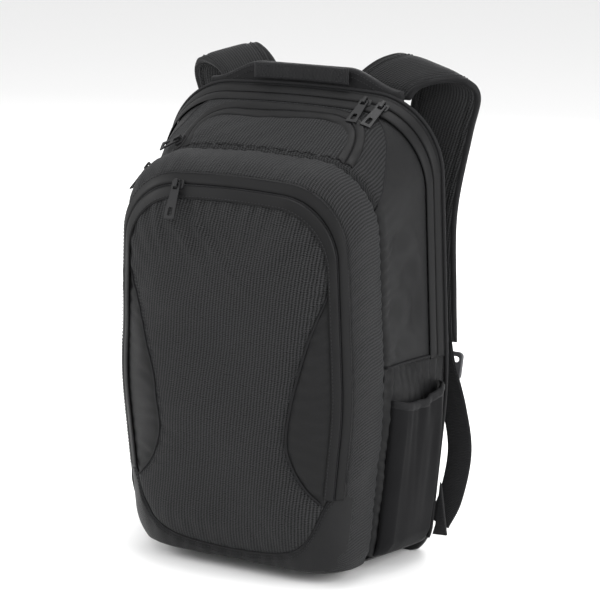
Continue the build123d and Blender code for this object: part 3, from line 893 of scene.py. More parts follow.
def softened(node, width, material, body, sharp=25):
    """A hard part with its edges eased: a merged copy of the node, bevelled."""
    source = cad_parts[node]
    shape = bmesh.new()
    shape.from_mesh(source.data)
    bmesh.ops.remove_doubles(shape, verts=shape.verts, dist=0.00002)
    bmesh.ops.dissolve_limit(shape, angle_limit=radians(2), verts=shape.verts, edges=shape.edges)
    mesh = bpy.data.meshes.new(node + "_made")
    shape.to_mesh(mesh)
    shape.free()
    mesh.materials.clear()
    layer = mesh.uv_layers.new(name="cloth")
    for loop in mesh.loops:
        x, y, z = mesh.vertices[loop.vertex_index].co
        layer.data[loop.index].uv = (x, z + y)
    piece = add_object(node + "_made", mesh, material)
    edge = piece.modifiers.new("edge", "BEVEL")
    edge.width, edge.segments, edge.limit_method, edge.angle_limit = width * MM, 2, "ANGLE", radians(sharp)
    mesh.set_sharp_from_angle(angle=radians(35))
    settle(piece, body, (node,))
    return piece


# %% [markdown]
# ## Padding by cloth simulation
# Foam under knitted mesh swells between its seams. The pad's rough shape is remeshed evenly,
# blown up a little as cloth under pressure, and held to a few millimetres of movement. The
# result is kept as a plain mesh. It runs the same each time.

# %% Swelling


def swell(piece, pressure, most, voxel=5.0, frames=18):
    """Blows a pad up as cloth under pressure and keeps the shape."""
    scene = bpy.context.scene
    work = piece.copy()
    work.data = piece.data.copy()
    scene.collection.objects.link(work)
    even = work.modifiers.new("even", "REMESH")
    even.mode, even.voxel_size = "VOXEL", voxel * MM
    graph = bpy.context.evaluated_depsgraph_get()
    mesh = bpy.data.meshes.new_from_object(work.evaluated_get(graph))
    work.modifiers.remove(even)
    work.data = mesh
    rest = np.zeros(len(mesh.vertices) * 3)
    mesh.vertices.foreach_get("co", rest)
    rest = rest.reshape(-1, 3)
    hold = work.vertex_groups.new(name="sewn")
    back = rest[:, 1].min() + 2.5 * MM
    hold.add([int(i) for i in np.nonzero(rest[:, 1] < back)[0]], 1.0, "REPLACE")
    cloth_mod = work.modifiers.new("cloth", "CLOTH")
    cloth_mod.settings.use_pressure = True
    cloth_mod.settings.uniform_pressure_force = pressure
    cloth_mod.settings.quality = 4
    cloth_mod.settings.mass = 0.3
    cloth_mod.settings.vertex_group_mass = "sewn"
    cloth_mod.settings.effector_weights.gravity = 0
    cloth_mod.collision_settings.use_collision = False
    cloth_mod.point_cache.frame_start, cloth_mod.point_cache.frame_end = 1, frames
    for number in range(1, frames + 1):
        scene.frame_set(number)
    graph = bpy.context.evaluated_depsgraph_get()
    done = bpy.data.meshes.new_from_object(work.evaluated_get(graph))
    moved = np.zeros(len(done.vertices) * 3)
    done.vertices.foreach_get("co", moved)
    moved = moved.reshape(-1, 3)
    step = moved - rest
    size = np.linalg.norm(step, axis=1, keepdims=True) + 1e-12
    moved = rest + step * np.minimum(1, most * MM / size)
    done.vertices.foreach_set("co", moved.ravel())
    scene.frame_set(1)
    bpy.data.objects.remove(work)
    finish = done.uv_layers.new(name="cloth")
    for loop in done.loops:
        x, y, z = moved[loop.vertex_index]
        finish.data[loop.index].uv = (x, z)
    done.materials.clear()
    done.materials.append(piece.data.materials[0])
    for poly in done.polygons:
        poly.use_smooth = True
    piece.data = done
    print(piece.name, "moved up to", round(float(size.max()) * 1000, 1), "mm")


# %% [markdown]
# ## The front compartment
# The gusset is one strip of body cloth that runs round the front compartment. Its back edge
# rolls into the groove. The coated zip band is sewn round its front edge in two halves with a
# slit between them, and the coil of the zip lies dark in the slit.

# %% Front gusset and zip band
FRONT = "compartment_front"


def ring_place(ring, z):
    """The place where a ring of the front comes down to height z."""
    return place_at(GROOVE_LINE, DOME_MID_Z + (z - DOME_MID_Z) / ring)


def gusset_out(place, ring):
    y = dome_depth(ring)
    gap = GROOVE_Y - y
    gx, gz, _, _ = along_line(GROOVE_LINE, place)
    lip = -5.0 * (1 - np.clip(gap / 6.5, 0, 1)) ** 2
    pucker = (
        np.exp(-gap / 9.0) * np.clip(gap / 3, 0, 1) * 0.9
        * np.sin(place * GIRTH / 1.8 + wobble(gx, y, gz, 45, 31) * 1.5)
    )
    front = np.clip((y + 69) / 1.0, 0, None)
    pull = (
        np.exp(-front / 11) * ease(front / 4) * 0.6
        * np.sin(place * GIRTH / 2.6 + wobble(gx, y, gz, 50, 32) * 1.4)
    )
    belly = np.sin(np.clip(gap / 48, 0, 1) * pi) * 1.4
    return (
        lip + pucker + pull + belly
        + ease(gap / 10) * (wobble(gx, y, gz, 70, 33) * 1.1 + wobble(gx, y, gz, 26, 34) * 0.35)
    )


depths = np.concatenate([spread(-69.0, -34, 14)[:-1], spread(-34, -22.6, 10)])
rings = ring_at_depth(depths)
ends = np.array([ring_place(r, BOOT_Z + 0.5) for r in rings])
across = spread(-1, 1, 420)
place = ends[:, None] * across[None]
ring = np.repeat(rings[:, None], len(across), axis=1)
grid = ring_point(place, ring, gusset_out(place, ring))
cloth("front_gusset_cloth", grid, BODY, 1.3, FRONT, ("front_gusset",))

ZIP_END_Z = 88.0


def band(name, near, far, stands_for, crown):
    """Half of the coated zip band between two depths."""
    ys = spread(near, far, 7)
    rings = ring_at_depth(ys)
    ends = np.array([ring_place(r, ZIP_END_Z) for r in rings])
    across = spread(-1, 1, 360)
    place = ends[:, None] * across[None]
    swell_up = 1.0 + crown * np.sin(spread(0.12, 0.9, 7) * pi) - 0.9 * (np.arange(7) == 6) * (far < near)
    x, z, _, _ = along_line(GROOVE_LINE, place)
    out = swell_up[:, None] + 0.25 * wobble(x, 0 * x, z, 55, 41)
    grid = ring_point(place, np.repeat(rings[:, None], len(across), axis=1), out)
    return cloth(name, grid, TAPE_CLOTH, 1.0, FRONT, stands_for, flip=near > far)


band("front_zip_band_outer", -68.2, -75.6, ("front_zip_outer",), 0.35)
band("front_zip_band_inner", -81.4, -76.4, ("front_zip_inner",), 0.35)
slit = ring_at_depth(-76.0)
slit_end = ring_place(slit, ZIP_END_Z)
slit_line = ring_point(spread(-slit_end, slit_end, 500), slit, 0.4)
run_along("front_zip_coil", [slit_line], COILER, COIL_IDS, 1.3, 0.9, 1.9, body=FRONT)
for depth, out in ((-69.3, 1.5), (-80.7, 1.5)):
    r = ring_at_depth(depth)
    e = ring_place(r, ZIP_END_Z)
    sew(FRONT, ring_point(spread(-e, e, 400), r, out))

# %% [markdown]
# ## The front face
# Four panels make the face: an hourglass centre of body cloth, two silky side panels and a
# base panel. Each is its own sheet. The seams between them carry a thin piping and a double
# row of stitches, and the cloth is pulled in along them.

# %% Front panels
FACE_RING, BASE_RING, BASE_REACH = 0.832, 0.962, 122.0


def ring_half(ring, z):
    """Half width of a ring of the front at height z."""
    x, zz = GROOVE_LINE[:, 0] * ring, DOME_MID_Z + ring * (GROOVE_LINE[:, 1] - DOME_MID_Z)
    order = np.argsort(zz)
    return np.interp(z, zz[order], x[order])


face_top = DOME_MID_Z + FACE_RING * (GROOVE["top"] - 3.4 - DOME_MID_Z)
rows = np.concatenate(
    [
        24.2 + spread(0, 1, 16)[:-1] ** 1.6 * 55.8, spread(80, 330, 96)[:-1],
        330 + (face_top - 330) * (1 - spread(1, 0, 22) ** 2),
    ]
)
inverse_scoop = np.interp(rows, SCOOP_PTS[:, 1], SCOOP_PTS[:, 0])
half = np.where(
    rows < 80, np.minimum(inverse_scoop, waist_x(80.0)),
    np.minimum(waist_x(rows), ring_half(FACE_RING, rows)),
)
half = np.maximum(half, 12)
x = half[:, None] * spread(-1, 1, 110)[None]
z = np.repeat(rows[:, None], 110, axis=1)
cloth("front_centre_cloth", dome_at(x, z), BODY, 1.3, FRONT, ("front_centre",), uv=(x, z))

rows = spread(74, 312, 84)
inner_x, outer_x = waist_x(rows) - 2.0, ring_half(FACE_RING + 0.012, rows)
outer_x = np.maximum(outer_x, inner_x + 0.5)
for name, sign in (("left", -1), ("right", 1)):
    f = spread(0, 1, 16)
    x = inner_x[:, None] + (outer_x - inner_x)[:, None] * f[None]
    z = np.maximum(rows[:, None] + 0 * x, scoop_z(x) - 3 + 0.02 * np.arange(len(rows))[:, None])
    grid = dome_at(sign * x, z, -0.7)
    cloth(
        f"front_side_cloth_{name}", grid, SATIN, 1.0, FRONT, (f"front_side_{name}",), flip=sign < 0,
        uv=(sign * x, z),
    )

f = spread(-1, 1, 130)
low_half = ring_half(BASE_RING, BOOT_Z + 0.4)
x = np.repeat((f * BASE_REACH)[None], 34, axis=0)
top = scoop_z(f * BASE_REACH)
low = np.full(len(f), BOOT_Z + 0.4)
base_rows = spread(BOOT_Z, 120, 60)
for i, value in enumerate(np.abs(f) * BASE_REACH):
    if value > low_half:
        low[i] = np.interp(value, ring_half(BASE_RING, base_rows), base_rows)
top = np.maximum(top, low + 1)
z = low[None] + (top - low)[None] * spread(0, 1, 34)[:, None]
cloth("front_base_cloth", dome_at(x, z, 0.55), SATIN, 1.2, FRONT, ("front_base",), uv=(x, z))

WAIST_Z_RUN = spread(83, 300, 120)
for sign in (-1, 1):
    seam = waist_x(WAIST_Z_RUN)
    inside = seam < ring_half(0.825, WAIST_Z_RUN)
    zz, xx = WAIST_Z_RUN[inside], sign * seam[inside]
    tube(f"front_seam_{'left' if sign < 0 else 'right'}", dome_at(xx, zz, 0.5), 1.1, EDGING, FRONT)
    for gap in (2.6, 5.2):
        sew(FRONT, dome_at(xx - sign * gap, zz, 0.25))
xx = spread(-106, 106, 160)
tube("front_base_seam", dome_at(xx, scoop_z(xx), 0.6), 1.1, EDGING, FRONT)
for gap in (2.8, 5.4):
    sew(FRONT, dome_at(xx, scoop_z(xx) - gap, 0.95))

# %% [markdown]
# ## The main shell
# The upper half folds forward with the front, the lower half stays on the back. The side
# cloth is sewn to both; here it rides on neither body and is baked where it lies, as is its
# cross seam.

# %% Upper and lower sides, top
MAIN = "main_front"


def seam_place(y, z):
    """The place where the shell's section at depth y comes down to height z."""
    share = (y - GROOVE_Y) / (BACK_Y - GROOVE_Y)
    return place_at(GROOVE_LINE * (1 - share) + BACK_LINE * share, z)


TAPE_EDGE, SLANT_Z, SLANT_RISE = 8.0, 345.0, 74.0
ys = np.concatenate(
    [GROOVE_Y + 0.4 + 9 * spread(0, 1, 9)[:-1] ** 1.3, spread(GROOVE_Y + 9.4, ZIP_Y - TAPE_EDGE, 22)]
)
upper = np.array([seam_place(y, SEAM_Z) for y in ys])
share = (ys - ys[0]) / (ys[-1] - ys[0])
shoulder = np.array([seam_place(y, z) for y, z in zip(ys, SLANT_Z + share * SLANT_RISE)])
for name, sign in (("left", -1), ("right", 1)):
    f = spread(0, 1, 90)
    place = sign * (shoulder[:, None] + (upper - shoulder)[:, None] * f[None])
    grid = shell_at(place, np.repeat(ys[:, None], 90, axis=1))
    piece = cloth(f"side_cloth_upper_{name}", grid, SATIN, 1.2, None, (f"side_upper_{name}",), flip=sign < 0)
    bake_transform(piece)

    ys_low = np.concatenate([ys, spread(ZIP_Y - TAPE_EDGE, BACK_Y - 0.2, 9)[1:]])
    top_end = np.array([seam_place(y, SEAM_Z) for y in ys_low])
    low_end = np.array([seam_place(y, BOOT_Z + 0.2) for y in ys_low])
    f = spread(0, 1, 110) ** 1.2
    place = sign * (top_end[:, None] + (low_end - top_end)[:, None] * f[None])
    grid = shell_at(place, np.repeat(ys_low[:, None], 110, axis=1))
    piece = cloth(f"side_cloth_lower_{name}", grid, SATIN, 1.2, None, (f"side_lower_{name}",), flip=sign < 0)
    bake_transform(piece)

    cross_y = spread(GROOVE_Y + 2, ZIP_Y - TAPE_EDGE + 6, 40)
    cross = np.array([sign * seam_place(y, SEAM_Z) for y in cross_y])
    piece = tube(f"cross_seam_{name}", shell_at(cross, cross_y, 0.7), 1.2, EDGING)
    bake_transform(piece)

    slant_y = spread(GROOVE_Y + 3, ZIP_Y - TAPE_EDGE, 40)
    slant_z = SLANT_Z + (slant_y - ys[0]) / (ys[-1] - ys[0]) * SLANT_RISE
    slant = np.array([sign * seam_place(y, z) for y, z in zip(slant_y, slant_z)])
    tube(f"shoulder_seam_{name}", shell_at(slant, slant_y, 0.6), 1.15, EDGING, MAIN)
    for gap in (3.0, 5.4):
        sew(MAIN, shell_at(slant - sign * gap / GIRTH, slant_y, 0.35))

# %% [markdown]
# ## The top and its pocket
# The pocket's flap lies flush in the sloping top. Its mouth is a wide coated zip that runs up
# one side, along the top and down the other. The flap is hinged at its sewn front edge.

# %% Top pocket


def sheet_xy(x, y, out=0.0):
    """Points of the shell over plan positions (x, y) on the top."""
    x, y = np.broadcast_arrays(np.asarray(x, float), np.asarray(y, float))
    share = (y - GROOVE_Y) / (BACK_Y - GROOVE_Y)
    limit = PLACE < 0.42
    near, far = GROOVE_LINE[limit], BACK_LINE[limit]
    flat = np.array(
        [
            np.interp(abs(a), near[:, 0] * (1 - s) + far[:, 0] * s, PLACE[limit])
            for a, s in zip(x.ravel(), share.ravel())
        ]
    )
    place = np.where(x < 0, -1, 1) * flat.reshape(x.shape)
    return shell_at(place, y, out)


FLAP_HINGE_Y, FLAP_DEPTH = -17.6, 37.2
MOUTH = [(78, -18), (78.5, -9), (78, 0), (74.5, 9), (66, 16.5), (54, 19.5), (40, 20), (20, 20)]
mouth_path = np.array(MOUTH + [(0, 20)] + [(-a, b) for a, b in reversed(MOUTH)], float)
mouth_path = smooth_pts(mouth_path)
ahead = np.gradient(mouth_path, axis=0)
ahead /= np.linalg.norm(ahead, axis=1, keepdims=True)
MOUTH_OUT = np.stack([ahead[:, 1], -ahead[:, 0]], axis=1)
if MOUTH_OUT[0, 0] < 0:
    MOUTH_OUT = -MOUTH_OUT


def mouth_grid(near, far, count, profile):
    """A strip beside the pocket's mouth, from near to far mm outside the flap's edge."""
    rows = []
    for t, out in zip(spread(near, far, count), profile):
        spot = mouth_path + MOUTH_OUT * t
        rows.append(sheet_xy(spot[:, 0], np.maximum(spot[:, 1], FLAP_HINGE_Y), out))
    return np.array(rows)


hump = [1.2, 1.5, 1.55, 1.5, 1.35, 0.9]
cloth("flap_zip_band", mouth_grid(-1.5, 6.1, 6, hump), TAPE_CLOTH, 1.0, "top_flap", ("flap_tape",))
cloth("pocket_zip_band", mouth_grid(6.9, 14.5, 6, hump[::-1]), TAPE_CLOTH, 1.0, MAIN, ("pocket_tape",))
coil_path = np.array([sheet_xy(a, max(b, FLAP_HINGE_Y), 0.7) for a, b in mouth_path + MOUTH_OUT * 6.5])
run_along("pocket_zip_coil", [coil_path], COILER, COIL_IDS, 1.3, 0.9, 1.8, body=MAIN)
for body, t in (("top_flap", -0.4), (MAIN, 13.4)):
    spot = mouth_path + MOUTH_OUT * t
    sew(body, sheet_xy(spot[:, 0], np.maximum(spot[:, 1], FLAP_HINGE_Y), 2.0 if t < 0 else 1.9))

flap_y = spread(FLAP_HINGE_Y, FLAP_HINGE_Y + FLAP_DEPTH, 30)
right_side = mouth_path[: len(mouth_path) // 2 + 1]
flap_half = np.interp(flap_y, right_side[:, 1], right_side[:, 0])
x = flap_half[:, None] * spread(-1, 1, 90)[None]
y = np.repeat(flap_y[:, None], 90, axis=1)
back = y - FLAP_HINGE_Y
gather = 0.5 * np.exp(-back / 5) * np.sin(x / 2.4 + wobble(x, y, 0 * x, 40, 51) * 1.5)
rise = 0.4 + 0.9 * np.sin(back / FLAP_DEPTH * pi) + gather
cloth("flap_cloth", sheet_xy(x, y, rise), BODY, 1.2, "top_flap", ("flap_panel",), uv=(x, y * 1.27), flip=True)

across = spread(-1, 1, 330)
place = shoulder[:, None] * across[None]
grid = shell_at(place, np.repeat(ys[:, None], len(across), axis=1))
mid = (grid[:-1, :-1] + grid[1:, 1:]) / 2
inside = np.zeros(mid.shape[:2], bool)
for i in range(mid.shape[0]):
    for j in range(mid.shape[1]):
        cx, cy = abs(mid[i, j, 0]), mid[i, j, 1]
        width = np.interp(cy, right_side[:, 1], right_side[:, 0]) + 9
        inside[i, j] = -16.5 < cy < 28.5 and cx < width - max(0, cy - 19) * 1.5
cloth("top_cloth", grid, BODY, 1.2, MAIN, ("top_panel",), keep=~inside, flip=True)

angle = spread(0, 2 * pi, 61)[:-1]
pocket_rows = []
for share, depth in ((1.0, 0), (1.0, 10), (0.97, 20), (0.9, 27), (0.75, 30), (0.3, 31), (0.02, 31)):
    px = 70 * share * np.sign(np.cos(angle)) * np.abs(np.cos(angle)) ** 0.4
    py = 5 + 15.5 * share * np.sign(np.sin(angle)) * np.abs(np.sin(angle)) ** 0.4
    rim = sheet_xy(px, np.clip(py, -14, 24), -1.8)[..., 2]
    pocket_rows.append(np.stack([px, py, rim - depth], axis=-1))
pocket_grid = np.array([np.concatenate([r, r[:1]]) for r in pocket_rows])
cloth("pocket_lining_bag", pocket_grid, LINING, 0.8, MAIN, ("top_pocket_lining",))

# %% [markdown]
# ## The main zip, the piping and the groove's floor
# The main zip runs from cross seam to cross seam over the top. Its front half rides on no
# body and is baked where it lies, like the side cloth. The piping on the back panel's edge
# holds the bag's outline.

# %% Main zip


def main_band(name, near, far, body, stands_for, flip):
    """Half of the main zip band between two depths."""
    ys = spread(near, far, 6)
    ends = np.array([seam_place(y, SEAM_Z - 3) for y in ys])
    across = spread(-1, 1, 420)
    place = ends[:, None] * across[None]
    profile = np.array([1.1, 1.4, 1.5, 1.45, 1.3, 0.8])
    grid = shell_at(place, np.repeat(ys[:, None], len(across), axis=1), profile[:, None] + 0 * place)
    piece = cloth(name, grid, TAPE_CLOTH, 1.0, body, stands_for, flip=flip)
    if body is None:
        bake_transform(piece)


main_band("main_zip_band_front", ZIP_Y - TAPE_EDGE - 1.5, ZIP_Y - 0.5, None, ("zip_tape_front",), True)
main_band("main_zip_band_rear", ZIP_Y + TAPE_EDGE + 1.0, ZIP_Y + 0.5, "bag", ("zip_tape_rear",), False)
end = seam_place(ZIP_Y, SEAM_Z)
run_along(
    "main_zip_coil", [shell_at(spread(-end, end, 700), ZIP_Y, 0.4)], COILER, COIL_IDS, 1.3, 0.9, 1.8,
    body="bag",
)

ys_rear = spread(ZIP_Y + TAPE_EDGE - 0.5, BACK_Y, 5)
ends = np.array([seam_place(y, SEAM_Z - 3) for y in ys_rear])
place = ends[:, None] * spread(-1, 1, 300)[None]
cloth(
    "rear_edge_cloth", shell_at(place, np.repeat(ys_rear[:, None], 300, axis=1), 0.2), SATIN, 1.0, "bag",
    flip=True,
)
end = seam_place(BACK_Y, 17)
rim = shell_at(spread(-end, end, 520), BACK_Y + 0.8, 1.5, plain=True)
tube("rear_piping_cord", rim, 1.9, EDGING, "bag", stands_for=("rear_piping",), sides=10)
sew("bag", shell_at(spread(-end, end, 500), BACK_Y - 3.2, 0.7, plain=True))

floor_y = spread(GROOVE_Y - 3.4, GROOVE_Y + 4.2, 4)
end = place_at(GROOVE_LINE, BOOT_Z + 1)
floor_place = np.repeat((end * spread(-1, 1, 300))[None], 4, axis=0)
x, z, nx, nz = along_line(GROOVE_LINE, floor_place)
deep = -6.0
grid = np.stack([x + nx * deep, np.repeat(floor_y[:, None], 300, axis=1), z + nz * deep], axis=-1)
cloth("groove_floor", grid, EDGING, 1.0, MAIN, ("groove_tape",), flip=True)

rows = spread(BOOT_Z + 1, GROOVE["top"] - 14, 60)
wall_half = np.interp(rows, (GROOVE_LINE[::-1, 1]), (GROOVE_LINE[::-1, 0])) - 8
wall_half = np.maximum(wall_half, 10)
x = wall_half[:, None] * spread(-1, 1, 40)[None]
z = np.repeat(rows[:, None], 40, axis=1)
wall = np.stack(
    [x, GROOVE_Y + 0.8 + 1.2 * wobble(x, 0 * x, z, 110, 61) * ease((115 - np.abs(x)) / 30), z], axis=-1,
)
wall[..., 1] = np.clip(wall[..., 1], GROOVE_Y - 0.5, GROOVE_Y + 3)
cloth("divider_cloth", wall, LINING, 1.0, MAIN, ("divider_wall",), uv=(x, z))

# %% [markdown]
# ## Base, back and harness
# The base boot wraps under both compartments. The back is a foam slab in a cloth skin, with
# three raised pads of spacer mesh. The pads are swollen by cloth simulation, so their faces
# crown and their edges pull in to the seam.

# %% Base boot
BAG = "bag"


def foot_loop(z, shrink=1.0):
    """The bag's footprint at height z, once round."""
    half = []
    for y in spread(BACK_Y, GROOVE_Y, 18):
        share = (y - GROOVE_Y) / (BACK_Y - GROOVE_Y)
        line = GROOVE_LINE * (1 - share) + BACK_LINE * share
        low = line[PLACE > 0.5]
        half.append((np.interp(z, low[::-1, 1], low[::-1, 0]), y))
    gx = half[-1][0]
    for x in gx * np.cos(spread(0, pi / 2, 30)[1:]):
        half.append((x, float(dome_at(x, z, 0, plain=True)[1])))
    right = np.array(half)
    loop = np.concatenate([[[0, BACK_Y]], right, (right * [-1, 1])[::-1][1:]])
    loop = (loop - [0, BACK_Y]) * [1 - (1 - shrink) * 0.5, shrink] + [0, BACK_Y]
    return np.column_stack([loop, np.full(len(loop), z)])


curl = (
    (15.4, 1.0), (13.0, 0.99), (10.5, 0.965), (8.0, 0.93), (5.8, 0.88), (3.8, 0.82), (2.2, 0.76),
    (1.0, 0.69), (0.4, 0.6),
)
boot_rows = [foot_loop(z, shrink) for z, shrink in curl] + [foot_loop(0.4, 0.3), foot_loop(0.4, 0.03)]
inner_rows = [foot_loop(2.8, 0.03), foot_loop(2.8, 0.62), foot_loop(8.0, 0.9), foot_loop(15.4, 0.985)]
lump("base_boot", inner_rows + boot_rows, SATIN, BAG, ("base_panel",))

# %% [markdown]
# ## The back
# The back skin closes over the piping. Three pads of spacer mesh are sewn on it, each with a
# bound rim, and the yoke covers the straps' upper ends.

# %% Back panel, pads and yoke


def back_loop(y, out, shrink=1.0):
    """A loop of the back panel's outline at depth y, level with the floor underneath."""
    place = spread(-1, 1, 241)[:-1]
    x, z, nx, nz = along_line(BACK_LINE, place)
    x, z = x + nx * out, z + nz * out
    x, z = x * shrink, 215 + (z - 215) * shrink
    return np.stack([x, np.full(len(x), float(y)), np.maximum(z, 0.2)], axis=-1)


profile = ((58.3, -8), (58.3, -1.5), (60, 0.3), (63, 0.9), (66, 0.3), (68.6, -1.6), (69.8, -4.5), (70, -9))
slab = [back_loop(58.3, -8, s) for s in (0.03, 0.5)] + [back_loop(y, o) for y, o in profile]
slab += [back_loop(70, -9, s) for s in (0.9, 0.7, 0.4, 0.03)]
lump("back_skin", slab, SATIN, BAG, ("back_panel",), flat_map=True)


def pad_loop(cx, cz, half_x, half_z, y, inset, power=5.0):
    """One loop of a rounded rectangular pad."""
    a = spread(0, 2 * pi, 97)[:-1]
    c, s = np.cos(a), np.sin(a)
    wide, tall = max(half_x - inset, half_x * 0.05), max(half_z - inset, half_z * 0.05)
    px = wide * np.sign(c) * np.abs(c) ** (2 / power)
    pz = tall * np.sign(s) * np.abs(s) ** (2 / power)
    return np.stack([cx + px, np.full(len(a), float(y)), cz + pz], axis=-1)


def pad(name, cx, cz, half_x, half_z, rise, node):
    """A padded panel of spacer mesh on the back, with a sewn edge and a swollen face."""
    steps = ((0, 0), (3, 0.6), (rise * 0.55, 2.2), (rise * 0.82, 6), (rise * 0.95, 11), (rise, 18))
    rings = [pad_loop(cx, cz, half_x, half_z, REAR_Y - 0.5, half_x * 0.9)]
    rings += [pad_loop(cx, cz, half_x, half_z, REAR_Y - 0.5 + h, i) for h, i in steps]
    rings += [pad_loop(cx, cz, half_x, half_z, REAR_Y - 0.3 + rise, half_x * k) for k in (0.6, 0.95)]
    piece = lump(name, rings, AIR, BAG, (node,), flat_map=True)
    swell(piece, 4.0, 5.0)
    rim = pad_loop(cx, cz, half_x + 1.2, half_z + 1.2, REAR_Y + 0.6, 0)
    tube(name + "_binding", rim, 1.7, EDGING, BAG, closed=True)
    return piece


pad("back_pad_left_foam", -64, 262, 45, 133, 11, "back_pad_left")
pad("back_pad_right_foam", 64, 262, 45, 133, 11, "back_pad_right")
pad("lumbar_foam", 0, 72, 106, 41, 13, "lumbar_pad")

yoke_x = spread(-100, 100, 70)
yoke_top = 437 + 18 * ease((100 - np.abs(yoke_x)) / 54)
yoke_low = 425 + 4 * np.cos(yoke_x / 100 * pi / 2)
a = spread(0, 2 * pi, 29)[:-1]
rings = []
for x, high, low in zip(yoke_x, yoke_top, yoke_low):
    tall = (high - low) / 2 * np.sign(np.cos(a)) * np.abs(np.cos(a)) ** 0.5
    rings.append(
        np.stack(
            [
                np.full(28, x), 64.5 + 5.0 * np.sign(np.sin(a)) * np.abs(np.sin(a)) ** 0.6,
                (high + low) / 2 + tall,
            ],
            axis=-1,
        )
    )
lump("yoke_pad", rings, EDGING, BAG, ("strap_yoke",))
for gap in (3.0, 8.0):
    sew(BAG, np.stack([yoke_x[6:-6], np.full(58, 59.3), yoke_top[6:-6] - gap], axis=-1))

# %% [markdown]
# ## The haul handle
# A loop of stiff webbing with a bar tack in a cross at each end.

# %% Haul handle
hx = spread(-50, 50, 40)
arch = 0.8 * np.cos(hx / 50 * pi / 2)
rings = []
for x, rise in zip(hx, arch):
    end = min(1.0, (50.3 - abs(x)) / 4) ** 0.4
    a = spread(0, 2 * pi, 21)[:-1]
    tall = 7.4 * np.sign(np.cos(a)) * np.abs(np.cos(a)) ** 0.25
    rings.append(
        np.stack(
            [
                np.full(20, x), 55.8 + 1.15 * end * np.sign(np.sin(a)) * np.abs(np.sin(a)) ** 0.5,
                447.5 + rise + tall,
            ],
            axis=-1,
        )
    )
lump("haul_webbing", rings, WEB, "haul_handle", ("haul_handle",))
for dz in (-5.2, 5.2):
    sew("haul_handle", np.stack([hx[2:-2], np.full(36, 54.55), 447.5 + arch[2:-2] + dz], axis=-1))
for sign in (-1, 1):
    for tilt in (-1, 1):
        sew(
            "haul_handle",
            np.stack(
                [spread(34, 46, 8) * sign, np.full(8, 54.5), 448 + tilt * spread(-4.6, 4.6, 8)], axis=-1,
            ),
        )

# %% [markdown]
# ## Shoulder straps
# A strap is a quilted ribbon: body cloth on the outside, a smooth binding folded over both
# edges, and webbing sewn to its end that runs through a ladder lock to the base. It is built
# along one smooth path, and the binding and the stitch lines follow the same path.

# %% Straps
STRAP = [
    ((66, 84, 426), 66, 0), ((74, 89, 440), 67, 5), ((93, 99, 451), 70, 13), ((112, 110, 452), 72, 17),
    ((120, 119, 436), 70, 15), ((112, 121, 395), 67, 8), ((102, 115, 318), 64, 2), ((106, 116, 240), 56, 0),
    ((119, 113, 194), 36, 0),
]
TAIL = [(118, 114, 196), (125, 109, 172), (140, 103, 132), (149, 97, 92), (146, 85, 50), (138, 74.5, 26)]
for name, sign in (("left", -1), ("right", 1)):
    body = f"strap_{name}"
    turn = np.array([sign, 1, 1])
    path = smooth_path(np.array([p for p, _, _ in STRAP], float) * turn, 130)
    width, tilt = smooth_path([(w, t, 0) for _, w, t in STRAP], 130)[:, :2].T
    tilt = np.radians(tilt) * sign
    _, across_way, face_way = strip_frame(path, tilt)
    rumple = wobble(path[:, 0], path[:, 1], path[:, 2], 60, 71 + sign)

    def quilt(i, u, v, rumple=rumple):
        crown = 1.3 * (1 - np.abs(u) ** 2.5) * np.sign(v) * np.abs(v) ** 0.3
        groove = -1.0 * np.exp(-((np.abs(u) - 0.70) / 0.05) ** 2) * np.sign(v)
        return crown + groove + 0.5 * rumple[i] * (1 - np.abs(u))

    ends = np.minimum(1, np.minimum(np.arange(130), np.arange(130)[::-1] * 0.5) / 5 + 0.55)
    piece = ribbon(
        f"strap_foam_{name}", path, width - 3.0, 8.0 * ends, BODY, body, (f"strap_pad_{name}",), sides=48,
        relief=quilt, tilt=tilt,
    )
    for edge in (-1, 1):
        ribbon(
            f"strap_binding_{name}_{'inner' if edge * sign < 0 else 'outer'}", path, 9.0, 6.2 * ends,
            EDGING, body, shift=edge * (width / 2 - 4.6), sides=16, square=3.5, tilt=tilt,
        )
        for way in (1, -1):
            line = (
                path + across_way * (edge * (width / 2 - 8.4))[:, None]
                + face_way * (way * 4.2 * ends)[:, None]
            )
            sew(body, line[3:-3])
    tail = smooth_path(np.array(TAIL, float) * turn, 60)
    ribbon(f"strap_tail_{name}", tail, 25.0, 1.8, WEB, body, (f"strap_webbing_{name}",), sides=16, square=9.0)
    _, tail_across, tail_face = strip_frame(tail)
    for edge in (-10.4, 10.4):
        sew(body, tail[1:22] + tail_across[1:22] * edge + tail_face[1:22] * 1.0)
    softened(f"ladder_lock_{name}", 0.6, MOULDED, f"ladder_lock_{name}")
    softened(f"strap_wing_{name}", 0.9, WEB, BAG)

# %% [markdown]
# ## Mesh pockets
# A bottle pocket is knitted mesh gathered into an elastic hem, so the cloth hangs in upright
# folds that are deep at the hem and fade out at the base.

